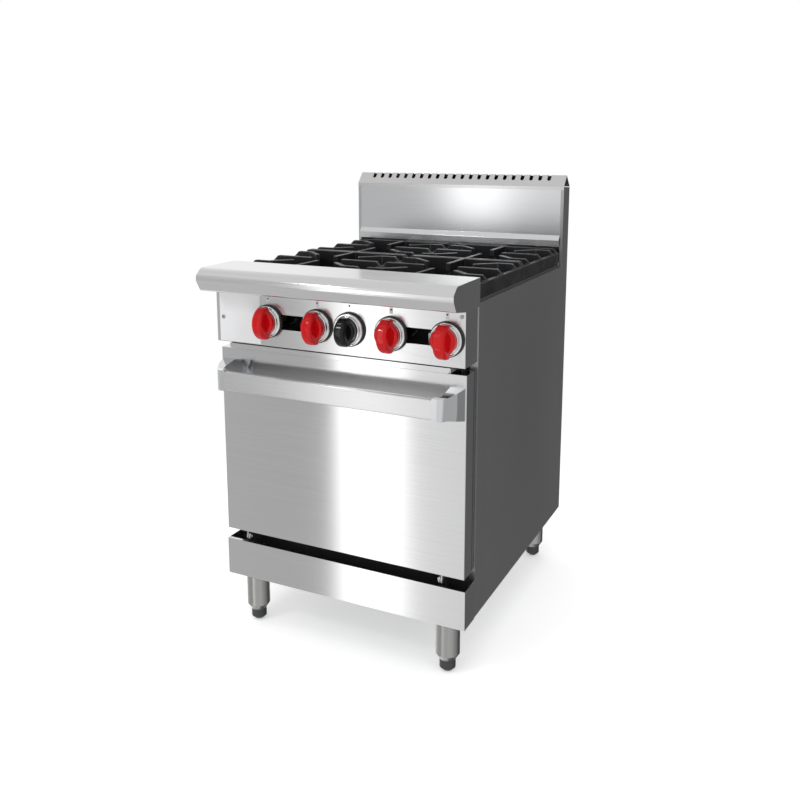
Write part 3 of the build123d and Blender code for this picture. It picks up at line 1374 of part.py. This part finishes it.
def main():
    os.makedirs("parts", exist_ok=True)
    right, left = both_sides(side_panel())
    save("side_panel_right", right)
    save("side_panel_left", left)
    save("back_panel", back_panel())
    save("base_frame", base_frame())
    save("kick_plate", kick_plate())
    save("oven_front_frame", oven_front_frame())
    save("landing_ledge", landing_ledge())
    save("control_panel", control_panel())
    save("label_plate", label_plate())
    save("knob_gaskets", [knob_gasket(x) for x in knob_places()])
    save("burner_bezels", [bezel(x) for x in BURNER_KNOB_XS])
    save("thermostat_bezel", bezel(THERMOSTAT_X))
    for index, x in enumerate(BURNER_KNOB_XS):
        burner_knob = knob(x, BURNER_KNOB_RADIUS, BURNER_GRIP_UP, BURNER_GRIP_DOWN)
        save(f"burner_knob_{index + 1}", burner_knob)
    thermostat_grip = (THERMOSTAT_GRIP_UP, THERMOSTAT_GRIP_DOWN)
    save("thermostat_knob", knob(THERMOSTAT_X, THERMOSTAT_KNOB_RADIUS, *thermostat_grip))
    save("panel_screws", panel_screws())

    save("burner_box", burner_box())
    save("grate_cross_rail", grate_cross_rail())
    front_y, back_y = GRATE_YS
    save("grate_front_left", placed_grate(-GRATE_X, front_y))
    save("grate_front_right", placed_grate(GRATE_X, front_y))
    save("grate_rear_left", placed_grate(-GRATE_X, back_y))
    save("grate_rear_right", placed_grate(GRATE_X, back_y))
    save("crumb_tray", crumb_tray())
    save("tray_runners", tray_runners())

    save("gas_manifold", gas_manifold())
    save("burner_valves", [burner_valve(x) for x in BURNER_KNOB_XS])
    save("thermostat", thermostat())
    save("oven_gas_tube", oven_gas_tube())
    save("safety_valve", safety_valve())
    save("pilot_tubes", [pilot_tube(x) for x in pilot_xs()])
    places = burner_places()
    save("burner_bodies", [burner_body(*place) for place in places])
    save("burner_heads", [Pos(x, y, HEAD_Z) * burner_head() for _, x, y in places])

    save("oven_liner", oven_liner())
    save("oven_deck", oven_deck())
    save("fire_box", fire_box())
    save("oven_burner", oven_burner())
    save("flame_baffle", flame_baffle())
    save("oven_insulation", oven_insulation())
    save("door_gasket", door_gasket())
    save("flue_duct", flue_duct())
    save("rack_guides", both_sides(rack_guide()))
    save("oven_rack", oven_rack())

    save("door_skin", door_skin())
    save("door_liner", door_liner())
    save("door_insulation", door_insulation())
    save("handle_bar", handle_bar())
    right, left = both_sides(handle_bracket())
    save("handle_bracket_right", right)
    save("handle_bracket_left", left)
    save("hinge_brackets", both_sides(hinge_bracket()))
    save("door_hinge_arms", both_sides(door_hinge_arm()))

    save("legs", [leg(x, y) for x, y in leg_places().values()])
    for name, (x, y) in leg_places().items():
        save(f"foot_{name}", foot(x, y))

    save("riser_panel", riser_panel())
    save("riser_shell", riser_shell())
    save("riser_cap", riser_cap())


main()
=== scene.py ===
import math
import bmesh
import bpy
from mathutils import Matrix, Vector


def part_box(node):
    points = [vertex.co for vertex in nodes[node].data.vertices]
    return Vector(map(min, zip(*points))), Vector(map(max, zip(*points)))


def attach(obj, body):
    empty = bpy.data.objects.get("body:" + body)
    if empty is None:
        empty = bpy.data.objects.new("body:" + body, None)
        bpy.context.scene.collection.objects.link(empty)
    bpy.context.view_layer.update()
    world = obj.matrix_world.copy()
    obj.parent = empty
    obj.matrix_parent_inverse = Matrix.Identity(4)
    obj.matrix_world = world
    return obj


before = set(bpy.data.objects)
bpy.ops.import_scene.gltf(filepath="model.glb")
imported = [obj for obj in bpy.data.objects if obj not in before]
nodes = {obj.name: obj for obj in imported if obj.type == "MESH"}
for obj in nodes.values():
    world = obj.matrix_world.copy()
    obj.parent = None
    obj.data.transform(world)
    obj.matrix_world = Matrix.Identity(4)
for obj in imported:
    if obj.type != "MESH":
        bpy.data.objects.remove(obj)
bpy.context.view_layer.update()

scene = bpy.context.scene
scene.view_settings.view_transform = "Standard"

MM = 0.001
door_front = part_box("door_skin")[0][1]

# Camera, placed from the door's face

CAMERA_ASIDE = 0.9287
CAMERA_DISTANCE = 1.5983
CAMERA_HEIGHT = 1.1388
CAMERA_TURN = math.radians(25.885)
CAMERA_TILT = math.radians(10.236)

def make_camera():
    data = bpy.data.cameras.new("camera")
    data.lens = 39.576
    data.sensor_width = 36.0
    data.shift_y = -0.12
    data.clip_start = 0.05
    data.clip_end = 60.0
    cam = bpy.data.objects.new("camera", data)
    scene.collection.objects.link(cam)
    cam.location = (CAMERA_ASIDE, door_front - CAMERA_DISTANCE, CAMERA_HEIGHT)
    cam.rotation_euler = (math.pi / 2 - CAMERA_TILT, 0.0, CAMERA_TURN)
    scene.camera = cam


make_camera()

# Materials


class Graph:
    """A small helper for wiring one material's nodes."""

    def __init__(self, name, colour, metallic=0.0, roughness=0.5, **fixed):
        self.material = bpy.data.materials.new(name)
        self.material.use_nodes = True
        self.tree = self.material.node_tree
        self.bsdf = self.tree.nodes["Principled BSDF"]
        self.bsdf.inputs["Base Color"].default_value = (*colour, 1.0)
        self.bsdf.inputs["Metallic"].default_value = metallic
        self.bsdf.inputs["Roughness"].default_value = roughness
        for key, value in fixed.items():
            self.bsdf.inputs[key.replace("_", " ")].default_value = value
        self.where = self.tree.nodes.new("ShaderNodeTexCoord").outputs["Object"]

    def link(self, source, target):
        self.tree.links.new(source, target)

    def noise(self, scale, detail=3.0, roughness=0.55, stretch=(1.0, 1.0, 1.0)):
        mapping = self.tree.nodes.new("ShaderNodeMapping")
        mapping.inputs["Scale"].default_value = stretch
        self.link(self.where, mapping.inputs["Vector"])
        texture = self.tree.nodes.new("ShaderNodeTexNoise")
        texture.inputs["Scale"].default_value = scale
        texture.inputs["Detail"].default_value = detail
        texture.inputs["Roughness"].default_value = roughness
        self.link(mapping.outputs["Vector"], texture.inputs["Vector"])
        return texture.outputs["Fac"]

    def ramp(self, source, low, high, start=0.3, end=0.7):
        ramp = self.tree.nodes.new("ShaderNodeMapRange")
        ramp.inputs["From Min"].default_value = start
        ramp.inputs["From Max"].default_value = end
        ramp.inputs["To Min"].default_value = low
        ramp.inputs["To Max"].default_value = high
        self.link(source, ramp.inputs["Value"])
        return ramp.outputs["Result"]

    def math(self, operation, first, second):
        node = self.tree.nodes.new("ShaderNodeMath")
        node.operation = operation
        for index, value in enumerate((first, second)):
            if isinstance(value, (int, float)):
                node.inputs[index].default_value = value
            else:
                self.link(value, node.inputs[index])
        return node.outputs["Value"]

    def mix(self, factor, first, second):
        node = self.tree.nodes.new("ShaderNodeMix")
        node.data_type = "RGBA"
        self.link(factor, node.inputs["Factor"])
        node.inputs[6].default_value = (*first, 1.0)
        node.inputs[7].default_value = (*second, 1.0)
        return node.outputs[2]

    def base(self, source):
        self.link(source, self.bsdf.inputs["Base Color"])

    def rough(self, source):
        self.link(source, self.bsdf.inputs["Roughness"])

    def bump(self, source, strength, distance):
        node = self.tree.nodes.new("ShaderNodeBump")
        node.inputs["Strength"].default_value = strength
        node.inputs["Distance"].default_value = distance
        self.link(source, node.inputs["Height"])
        self.link(node.outputs["Normal"], self.bsdf.inputs["Normal"])


def shade(colour, amount):
    return tuple(min(1.0, c * amount) for c in colour)


def brushed(name, colour, roughness, grain="X", strength=0.03, aniso=0.6, contrast=0.035):
    """Brushed sheet steel: fine grain along one axis, faint handling marks."""
    g = Graph(name, colour, metallic=1.0, roughness=roughness, Anisotropic=aniso)
    stretch = {"X": (3.0, 900.0, 900.0), "Z": (900.0, 900.0, 3.0)}[grain]
    fine = g.noise(1.0, 4.0, 0.6, stretch)
    smear = g.noise(2.2, 3.0, 0.5, tuple(1.0 if s > 10 else 0.35 for s in stretch))
    g.base(g.mix(g.ramp(fine, 0.0, 1.0), shade(colour, 1 - contrast), shade(colour, 1 + contrast)))
    grained = g.ramp(fine, roughness * 0.92, roughness * 1.08)
    g.rough(g.math("ADD", grained, g.ramp(smear, -0.02, 0.03)))
    g.bump(fine, strength, 0.0001)
    along = g.tree.nodes.new("ShaderNodeCombineXYZ")
    along.inputs[grain].default_value = 1.0
    g.link(along.outputs["Vector"], g.bsdf.inputs["Tangent"])
    g.bsdf.inputs["Anisotropic Rotation"].default_value = 0.25
    return g.material


def cast(name, colour, roughness, grit=420.0, strength=0.35):
    """Cast iron with a gritty skin, rubbed a little lighter in patches."""
    g = Graph(name, colour, metallic=0.35, roughness=roughness)
    skin = g.noise(grit, 5.0, 0.65)
    patch = g.noise(22.0, 3.0, 0.55)
    g.base(g.mix(g.ramp(patch, 0.0, 1.0, 0.35, 0.75), shade(colour, 0.75), shade(colour, 1.6)))
    g.rough(g.math("ADD", g.ramp(skin, roughness - 0.08, roughness + 0.08), g.ramp(patch, 0.05, -0.1)))
    g.bump(skin, strength, 0.0004)
    return g.material


def satin(name, colour, roughness, metallic=0.0, grit=180.0, strength=0.06, contrast=0.06, **fixed):
    """Paint, plastic, rubber or zinc: a fine texture with slightly uneven gloss."""
    g = Graph(name, colour, metallic=metallic, roughness=roughness, **fixed)
    fine = g.noise(grit, 4.0, 0.6)
    patch = g.noise(9.0, 2.0, 0.5)
    g.base(g.mix(g.ramp(patch, 0.0, 1.0), shade(colour, 1 - contrast), shade(colour, 1 + contrast)))
    g.rough(g.math("ADD", g.ramp(fine, roughness * 0.9, roughness * 1.1), g.ramp(patch, -0.02, 0.04)))
    g.bump(fine, strength, 0.0003)
    return g.material


BRIGHT = (0.68, 0.68, 0.685)

# Same stainless steel as the front, given a darker colour: painted shade for the sides turned away
# from the light
m_side_shaded = brushed("side_steel_shaded", (0.46, 0.46, 0.46), 0.34, "Z")
m_front = brushed("front_steel", BRIGHT, 0.13, "X")
m_panel = brushed("panel_steel", BRIGHT, 0.20, "X")
m_ledge = brushed("ledge_steel", (0.72, 0.72, 0.72), 0.20, "X", aniso=0.3)
m_riser = brushed("riser_steel", (0.71, 0.72, 0.73), 0.21, "X")
m_cap = brushed("cap_steel", (0.66, 0.65, 0.65), 0.26, "X", aniso=0.4)
m_handle = brushed("handle_steel", (0.66, 0.66, 0.66), 0.30, "X", aniso=0.4)
m_casting = satin("handle_casting", (0.72, 0.73, 0.74), 0.11, 1.0, 260.0, 0.04)
m_zinc = satin("zinc", (0.42, 0.43, 0.44), 0.42, 1.0, 60.0, 0.05, 0.12)
m_frame = satin("frame_black", (0.035, 0.033, 0.032), 0.45, 0.0, 300.0, 0.1)
m_box = satin("burner_box_enamel", (0.05, 0.05, 0.052), 0.38, 0.0, 120.0, 0.08, 0.2)
m_grate = cast("grate_iron", (0.016, 0.016, 0.018), 0.45)
m_worn = cast("grate_worn_edge", (0.060, 0.060, 0.063), 0.36, 900.0, 0.15)
m_burner = cast("burner_iron", (0.035, 0.033, 0.033), 0.55, 260.0)
m_red = satin("knob_red", (0.56, 0.002, 0.004), 0.07, 0.0, 90.0, 0.01, 0.04, IOR=1.38)
m_black = satin("knob_black", (0.004, 0.004, 0.004), 0.09, 0.0, 90.0, 0.01, 0.04, IOR=1.36)
m_chrome = satin("bezel_chrome", (0.78, 0.78, 0.79), 0.09, 1.0, 140.0, 0.012, 0.04)
m_rubber = satin("gasket_rubber", (0.012, 0.012, 0.012), 0.55, 0.0, 500.0, 0.2)
m_seal = satin("seal_rubber", (0.02, 0.02, 0.02), 0.6, 0.0, 500.0, 0.2)
m_label = satin("label_white", (0.80, 0.81, 0.82), 0.40, 0.0, 320.0, 0.1, 0.05)
m_brass = satin("brass", (0.60, 0.42, 0.18), 0.3, 1.0)
m_valve = satin("valve_metal", (0.5, 0.5, 0.5), 0.4, 1.0)
m_pipe = satin("pipe_iron", (0.03, 0.03, 0.032), 0.5)
m_tube = satin("tube_aluminium", (0.66, 0.66, 0.67), 0.3, 1.0)
m_enamel = satin("oven_enamel", (0.030, 0.033, 0.045), 0.22, 0.0, 420.0, 0.08, 0.25, Coat_Weight=0.3)
m_blanket = satin("insulation", (0.62, 0.58, 0.38), 0.9, 0.0, 700.0, 0.8)
m_wire = satin("rack_chrome", (0.62, 0.62, 0.62), 0.22, 1.0)
m_screw = satin("screw_steel", (0.35, 0.35, 0.35), 0.35, 1.0)
m_foot = satin("foot_metal", (0.045, 0.047, 0.050), 0.42, 0.0, 320.0, 0.1)
m_leg = brushed("leg_steel", (0.40, 0.40, 0.39), 0.24, "Z", aniso=0.4)
m_hinge = satin("hinge_steel", (0.45, 0.45, 0.46), 0.38, 1.0)

SURFACES = {
    "side_panel_left": m_side_shaded,
    "side_panel_right": m_side_shaded,
    "back_panel": m_zinc,
    "base_frame": m_zinc,
    "kick_plate": m_front,
    "oven_front_frame": m_frame,
    "control_panel": m_panel,
    "landing_ledge": m_ledge,
    "label_plate": m_label,
    "knob_gaskets": m_rubber,
    "burner_bezels": m_chrome,
    "thermostat_bezel": m_chrome,
    "burner_knob_1": m_red,
    "burner_knob_2": m_red,
    "burner_knob_3": m_red,
    "burner_knob_4": m_red,
    "thermostat_knob": m_black,
    "panel_screws": m_screw,
    "burner_box": m_box,
    "grate_cross_rail": m_box,
    "grate_front_left": m_grate,
    "grate_front_right": m_grate,
    "grate_rear_left": m_grate,
    "grate_rear_right": m_grate,
    "crumb_tray": m_front,
    "tray_runners": m_zinc,
    "gas_manifold": m_pipe,
    "burner_valves": m_brass,
    "thermostat": m_valve,
    "oven_gas_tube": m_tube,
    "safety_valve": m_valve,
    "pilot_tubes": m_tube,
    "burner_bodies": m_burner,
    "burner_heads": m_burner,
    "oven_liner": m_enamel,
    "oven_deck": m_enamel,
    "fire_box": m_zinc,
    "oven_burner": m_burner,
    "flame_baffle": m_burner,
    "oven_insulation": m_blanket,
    "door_gasket": m_seal,
    "flue_duct": m_zinc,
    "rack_guides": m_wire,
    "oven_rack": m_wire,
    "door_skin": m_front,
    "door_liner": m_enamel,
    "door_insulation": m_blanket,
    "handle_bar": m_handle,
    "handle_bracket_left": m_casting,
    "handle_bracket_right": m_casting,
    "hinge_brackets": m_hinge,
    "door_hinge_arms": m_hinge,
    "legs": m_leg,
    "foot_front_left": m_foot,
    "foot_front_right": m_foot,
    "foot_rear_left": m_foot,
    "foot_rear_right": m_foot,
    "riser_panel": m_riser,
    "riser_shell": m_side_shaded,
    "riser_cap": m_cap,
}

EDGE = {
    "grate_front_left": 1.6,
    "grate_front_right": 1.6,
    "grate_rear_left": 1.6,
    "grate_rear_right": 1.6,
    "burner_heads": 1.0,
    "handle_bracket_left": 3.0,
    "handle_bracket_right": 3.0,
    "burner_knob_1": 1.2,
    "burner_knob_2": 1.2,
    "burner_knob_3": 1.2,
    "burner_knob_4": 1.2,
    "thermostat_knob": 1.2,
    "kick_plate": 0.5,
    "door_skin": 0.5,
    "landing_ledge": 0.6,
    "riser_cap": 0.5,
    "riser_panel": 0.5,
    "control_panel": 0.5,
    "handle_bar": 0.8,
    "burner_bezels": 0.5,
    "thermostat_bezel": 0.5,
}


def soften(obj, width, edge_slot=-1):
    """Joins the mesh's seams and rounds its sharp edges a little."""
    weld = obj.modifiers.new("weld", "WELD")
    weld.merge_threshold = 1e-6
    bevel = obj.modifiers.new("bevel", "BEVEL")
    bevel.width = width * MM
    bevel.segments = 2
    bevel.limit_method = "ANGLE"
    bevel.angle_limit = math.radians(35)
    bevel.harden_normals = True
    bevel.material = edge_slot


def dress():
    for name, material in SURFACES.items():
        obj = nodes[name]
        obj.data.materials.clear()
        obj.data.materials.append(material)
        if name.startswith("grate_front") or name.startswith("grate_rear"):
            obj.data.materials.append(m_worn)
            soften(obj, EDGE[name], 1)
        elif name in EDGE:
            soften(obj, EDGE[name])


dress()

# Trim: small pieces that are printed or stuck on

TRIM_THICKNESS = 0.3 * MM


def flat_piece(name, outline, depth, material, body):
    """A thin plate from an (x, z) outline, its face turned to the front."""
    mesh = bpy.data.meshes.new(name)
    bm = bmesh.new()
    front = [bm.verts.new((x, depth, z)) for x, z in outline]
    face = bm.faces.new(front)
    if face.normal.y > 0:
        face.normal_flip()
    bm.normal_update()
    bm.to_mesh(mesh)
    bm.free()
    mesh.materials.append(material)
    piece = bpy.data.objects.new(name, mesh)
    scene.collection.objects.link(piece)
    shell = piece.modifiers.new("thickness", "SOLIDIFY")
    shell.thickness = TRIM_THICKNESS
    shell.offset = -1.0
    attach(piece, body)
    return piece


def ring_points(x, z, radius, count=20):
    turns = (2 * math.pi * i / count for i in range(count))
    return [(x + radius * math.cos(t), z + radius * math.sin(t)) for t in turns]


def rounded(x, z, wide, high, corner):
    """The (x, z) outline of a plate with rounded corners."""
    points = []
    for cx, cz, start in ((1, 1, 0), (-1, 1, 90), (-1, -1, 180), (1, -1, 270)):
        for step in range(5):
            t = math.radians(start + step * 22.5)
            px = x + cx * (wide / 2 - corner) + corner * math.cos(t)
            points.append((px, z + cz * (high / 2 - corner) + corner * math.sin(t)))
    return points


def knob_axis(name):
    low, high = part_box(name)
    return (low[0] + high[0]) / 2


panel_low, panel_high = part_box("control_panel")
panel_face = panel_low[1]
m_plate = satin("index_plate", (0.80, 0.80, 0.81), 0.25, 0.0, 300.0, 0.03)
m_ink = satin("index_ink", (0.010, 0.010, 0.010), 0.35, 0.0, 300.0, 0.03)
MARK_Z = panel_high[2] - 8 * MM
MARK_DOT = 2.0 * MM
MARK_PLATE_WIDTH = 8 * MM
MARK_PLATE_HEIGHT = 13 * MM
MARK_PLATE_CORNER = 1.2 * MM
MARK_PLATE_DROP = 2 * MM
MARK_LAYER = 0.3 * MM
TICK_COUNT = 9
TICK_FIRST = 40
TICK_PITCH = 35
TICK_INNER = 26.0 * MM
TICK_OUTER = 28.6 * MM
TICK_HALF_WIDTH = 0.35 * MM
TICK_STANDOFF = 0.12 * MM
BURNERS = ("burner_knob_1", "burner_knob_2", "burner_knob_3", "burner_knob_4")


def index_marks():
    """A dot over each knob, on a small white plate over the burner knobs."""
    for knob in BURNERS:
        x = knob_axis(knob)
        middle = MARK_Z - MARK_PLATE_DROP
        plate = rounded(x, middle, MARK_PLATE_WIDTH, MARK_PLATE_HEIGHT, MARK_PLATE_CORNER)
        name = knob.replace("knob", "index")
        flat_piece(name + "_plate", plate, panel_face - MARK_LAYER, m_plate, "cabinet")
        dot = ring_points(x, MARK_Z, MARK_DOT)
        flat_piece(name + "_dot", dot, panel_face - 2 * MARK_LAYER, m_ink, "cabinet")
    dot = ring_points(knob_axis("thermostat_knob"), MARK_Z, MARK_DOT)
    flat_piece("thermostat_index_dot", dot, panel_face - MARK_LAYER, m_ink, "cabinet")


def dial_marks():
    """Plain ticks round the thermostat's bezel, clear of the turning grip."""
    low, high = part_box("thermostat_bezel")
    x, z = (low[0] + high[0]) / 2, (low[2] + high[2]) / 2
    face = low[1] - TICK_STANDOFF
    for step in range(TICK_COUNT):
        turn = math.radians(TICK_FIRST + step * TICK_PITCH)
        across = Vector((math.sin(turn), math.cos(turn)))
        side = Vector((across.y, -across.x)) * TICK_HALF_WIDTH
        start, end = across * TICK_INNER, across * TICK_OUTER
        corners = (start - side, end - side, end + side, start + side)
        outline = [(x + c.x, z + c.y) for c in corners]
        flat_piece(f"dial_tick_{step}", outline, face, m_ink, "cabinet")


index_marks()
dial_marks()

# Stage

FLOOR_REACH = 14.0
FLOOR_DROP = 0.0002
FLOOR_LIFT = 0.42
FADE_START = 0.7
FADE_END = 1.6
WALL_DISTANCE = 1.9
WALL_GLOW = 1.9


def floor_material():
    """Pale and matt; to the camera it is white where no shadow falls, fading to the backdrop."""
    material = bpy.data.materials.new("floor")
    material.use_nodes = True
    tree = material.node_tree
    bsdf = tree.nodes["Principled BSDF"]
    bsdf.inputs["Base Color"].default_value = (0.93, 0.93, 0.93, 1.0)
    bsdf.inputs["Roughness"].default_value = 0.9
    lift = tree.nodes.new("ShaderNodeMath")
    lift.operation = "MULTIPLY"
    lift.inputs[1].default_value = FLOOR_LIFT
    camera_ray = tree.nodes.new("ShaderNodeLightPath").outputs["Is Camera Ray"]
    tree.links.new(camera_ray, lift.inputs[0])
    bsdf.inputs["Emission Color"].default_value = (1.0, 1.0, 1.0, 1.0)
    tree.links.new(lift.outputs["Value"], bsdf.inputs["Emission Strength"])
    glow = tree.nodes.new("ShaderNodeEmission")
    glow.inputs["Strength"].default_value = 1.0
    where = tree.nodes.new("ShaderNodeTexCoord").outputs["Object"]
    length = tree.nodes.new("ShaderNodeVectorMath")
    length.operation = "LENGTH"
    tree.links.new(where, length.inputs[0])
    fade = tree.nodes.new("ShaderNodeMapRange")
    fade.interpolation_type = "SMOOTHSTEP"
    fade.inputs["From Min"].default_value = FADE_START
    fade.inputs["From Max"].default_value = FADE_END
    tree.links.new(length.outputs["Value"], fade.inputs["Value"])
    mix = tree.nodes.new("ShaderNodeMixShader")
    tree.links.new(fade.outputs["Result"], mix.inputs["Fac"])
    tree.links.new(bsdf.outputs["BSDF"], mix.inputs[1])
    tree.links.new(glow.outputs["Emission"], mix.inputs[2])
    tree.links.new(mix.outputs["Shader"], tree.nodes["Material Output"].inputs["Surface"])
    return material


def make_floor():
    mesh = bpy.data.meshes.new("floor")
    far = FLOOR_REACH
    corners = [(-far, -far, 0), (far, -far, 0), (far, far, 0), (-far, far, 0)]
    mesh.from_pydata(corners, [], [(0, 1, 2, 3)])
    floor = bpy.data.objects.new("floor", mesh)
    scene.collection.objects.link(floor)
    floor.location.z = -FLOOR_DROP
    floor.data.materials.append(floor_material())
    floor.visible_glossy = False


def make_world():
    """White to the camera; a soft grey studio for light and reflections."""
    world = bpy.data.worlds.new("studio")
    scene.world = world
    world.cycles.sampling_method = "NONE"
    world.use_nodes = True
    tree = world.node_tree
    tree.nodes.clear()
    way = tree.nodes.new("ShaderNodeTexCoord").outputs["Generated"]
    split = tree.nodes.new("ShaderNodeSeparateXYZ")
    tree.links.new(way, split.inputs["Vector"])
    turn = tree.nodes.new("ShaderNodeMath")
    turn.operation = "ARCTAN2"
    tree.links.new(split.outputs["X"], turn.inputs[0])
    tree.links.new(split.outputs["Y"], turn.inputs[1])
    unit = tree.nodes.new("ShaderNodeMapRange")
    unit.inputs["From Min"].default_value = -math.pi
    unit.inputs["From Max"].default_value = math.pi
    tree.links.new(turn.outputs["Value"], unit.inputs["Value"])
    ramp = tree.nodes.new("ShaderNodeValToRGB")
    ramp.color_ramp.interpolation = "EASE"
    stops = ramp.color_ramp.elements
    levels = (
        (-180, 0.85),
        (-150, 0.60),
        (-110, 0.60),
        (-55, 1.05),
        (-36, 1.05),
        (-20, 0.75),
        (4, 0.14),
        (40, 0.10),
        (75, 0.45),
        (130, 0.80),
        (180, 0.85),
    )
    while len(stops) < len(levels):
        stops.new(0.5)
    for stop, (angle, value) in zip(stops, levels):
        stop.position = (angle + 180) / 360
        stop.color = (value, value, value, 1.0)
    tree.links.new(unit.outputs["Result"], ramp.inputs["Fac"])
    rise = tree.nodes.new("ShaderNodeMapRange")
    rise.inputs["From Min"].default_value = 0.25
    rise.inputs["From Max"].default_value = 0.9
    tree.links.new(split.outputs["Z"], rise.inputs["Value"])
    sky = tree.nodes.new("ShaderNodeMix")
    sky.data_type = "RGBA"
    tree.links.new(rise.outputs["Result"], sky.inputs["Factor"])
    tree.links.new(ramp.outputs["Color"], sky.inputs[6])
    sky.inputs[7].default_value = (0.8, 0.8, 0.8, 1.0)
    studio = tree.nodes.new("ShaderNodeBackground")
    tree.links.new(sky.outputs[2], studio.inputs["Color"])
    white = tree.nodes.new("ShaderNodeBackground")
    white.inputs["Color"].default_value = (1.0, 1.0, 1.0, 1.0)
    path = tree.nodes.new("ShaderNodeLightPath")
    mix = tree.nodes.new("ShaderNodeMixShader")
    tree.links.new(path.outputs["Is Camera Ray"], mix.inputs["Fac"])
    tree.links.new(studio.outputs["Background"], mix.inputs[1])
    tree.links.new(white.outputs["Background"], mix.inputs[2])
    out = tree.nodes.new("ShaderNodeOutputWorld")
    tree.links.new(mix.outputs["Shader"], out.inputs["Surface"])


def area_light(name, place, aim, width, height, power):
    data = bpy.data.lights.new(name, "AREA")
    data.shape = "RECTANGLE"
    data.size = width
    data.size_y = height
    data.energy = power
    lamp = bpy.data.objects.new(name, data)
    scene.collection.objects.link(lamp)
    lamp.location = place
    lamp.rotation_euler = (Vector(aim) - Vector(place)).to_track_quat("-Z", "Z").to_euler()
    lamp.visible_camera = False
    return lamp


def make_backdrop():
    """The studio wall that the front reflects: grey, a bright gap, then paler."""
    mesh = bpy.data.meshes.new("studio_wall")
    left, right, low, high = -3.4, 1.8, -1.4, 3.0
    corners = [(left, 0, low), (right, 0, low), (right, 0, high), (left, 0, high)]
    mesh.from_pydata(corners, [], [(0, 1, 2, 3)])
    wall = bpy.data.objects.new("studio_wall", mesh)
    scene.collection.objects.link(wall)
    wall.location.y = door_front - WALL_DISTANCE
    material = bpy.data.materials.new("studio_wall")
    material.use_nodes = True
    material.cycles.emission_sampling = "NONE"
    tree = material.node_tree
    tree.nodes.clear()
    where = tree.nodes.new("ShaderNodeTexCoord").outputs["Object"]
    split = tree.nodes.new("ShaderNodeSeparateXYZ")
    tree.links.new(where, split.inputs["Vector"])
    unit = tree.nodes.new("ShaderNodeMapRange")
    unit.inputs["From Min"].default_value = left
    unit.inputs["From Max"].default_value = right
    tree.links.new(split.outputs["X"], unit.inputs["Value"])
    ramp = tree.nodes.new("ShaderNodeValToRGB")
    stops = ramp.color_ramp.elements
    levels = (
        (-3.4, 0.36),
        (-1.9, 0.30),
        (-1.14, 0.27),
        (-1.09, 1.00),
        (-0.79, 1.00),
        (-0.69, 0.50),
        (0.2, 0.41),
        (1.8, 0.42),
    )
    while len(stops) < len(levels):
        stops.new(0.5)
    for stop, (x, value) in zip(stops, levels):
        stop.position = (x - left) / (right - left)
        stop.color = (value, value, value, 1.0)
    tree.links.new(unit.outputs["Result"], ramp.inputs["Fac"])
    glow = tree.nodes.new("ShaderNodeEmission")
    glow.inputs["Strength"].default_value = WALL_GLOW
    tree.links.new(ramp.outputs["Color"], glow.inputs["Color"])
    out = tree.nodes.new("ShaderNodeOutputMaterial")
    tree.links.new(glow.outputs["Emission"], out.inputs["Surface"])
    mesh.materials.append(material)
    wall.visible_camera = False
    wall.visible_shadow = False


make_floor()
make_world()
make_backdrop()
top = area_light("softbox_top", (0.3, -0.6, 3.2), (0.0, 0.0, 0.5), 2.4, 2.4, 16.0)
top.visible_glossy = False
area_light("softbox_front", (-1.1, -2.0, 2.2), (0.0, 0.0, 0.7), 0.34, 0.34, 7.0)
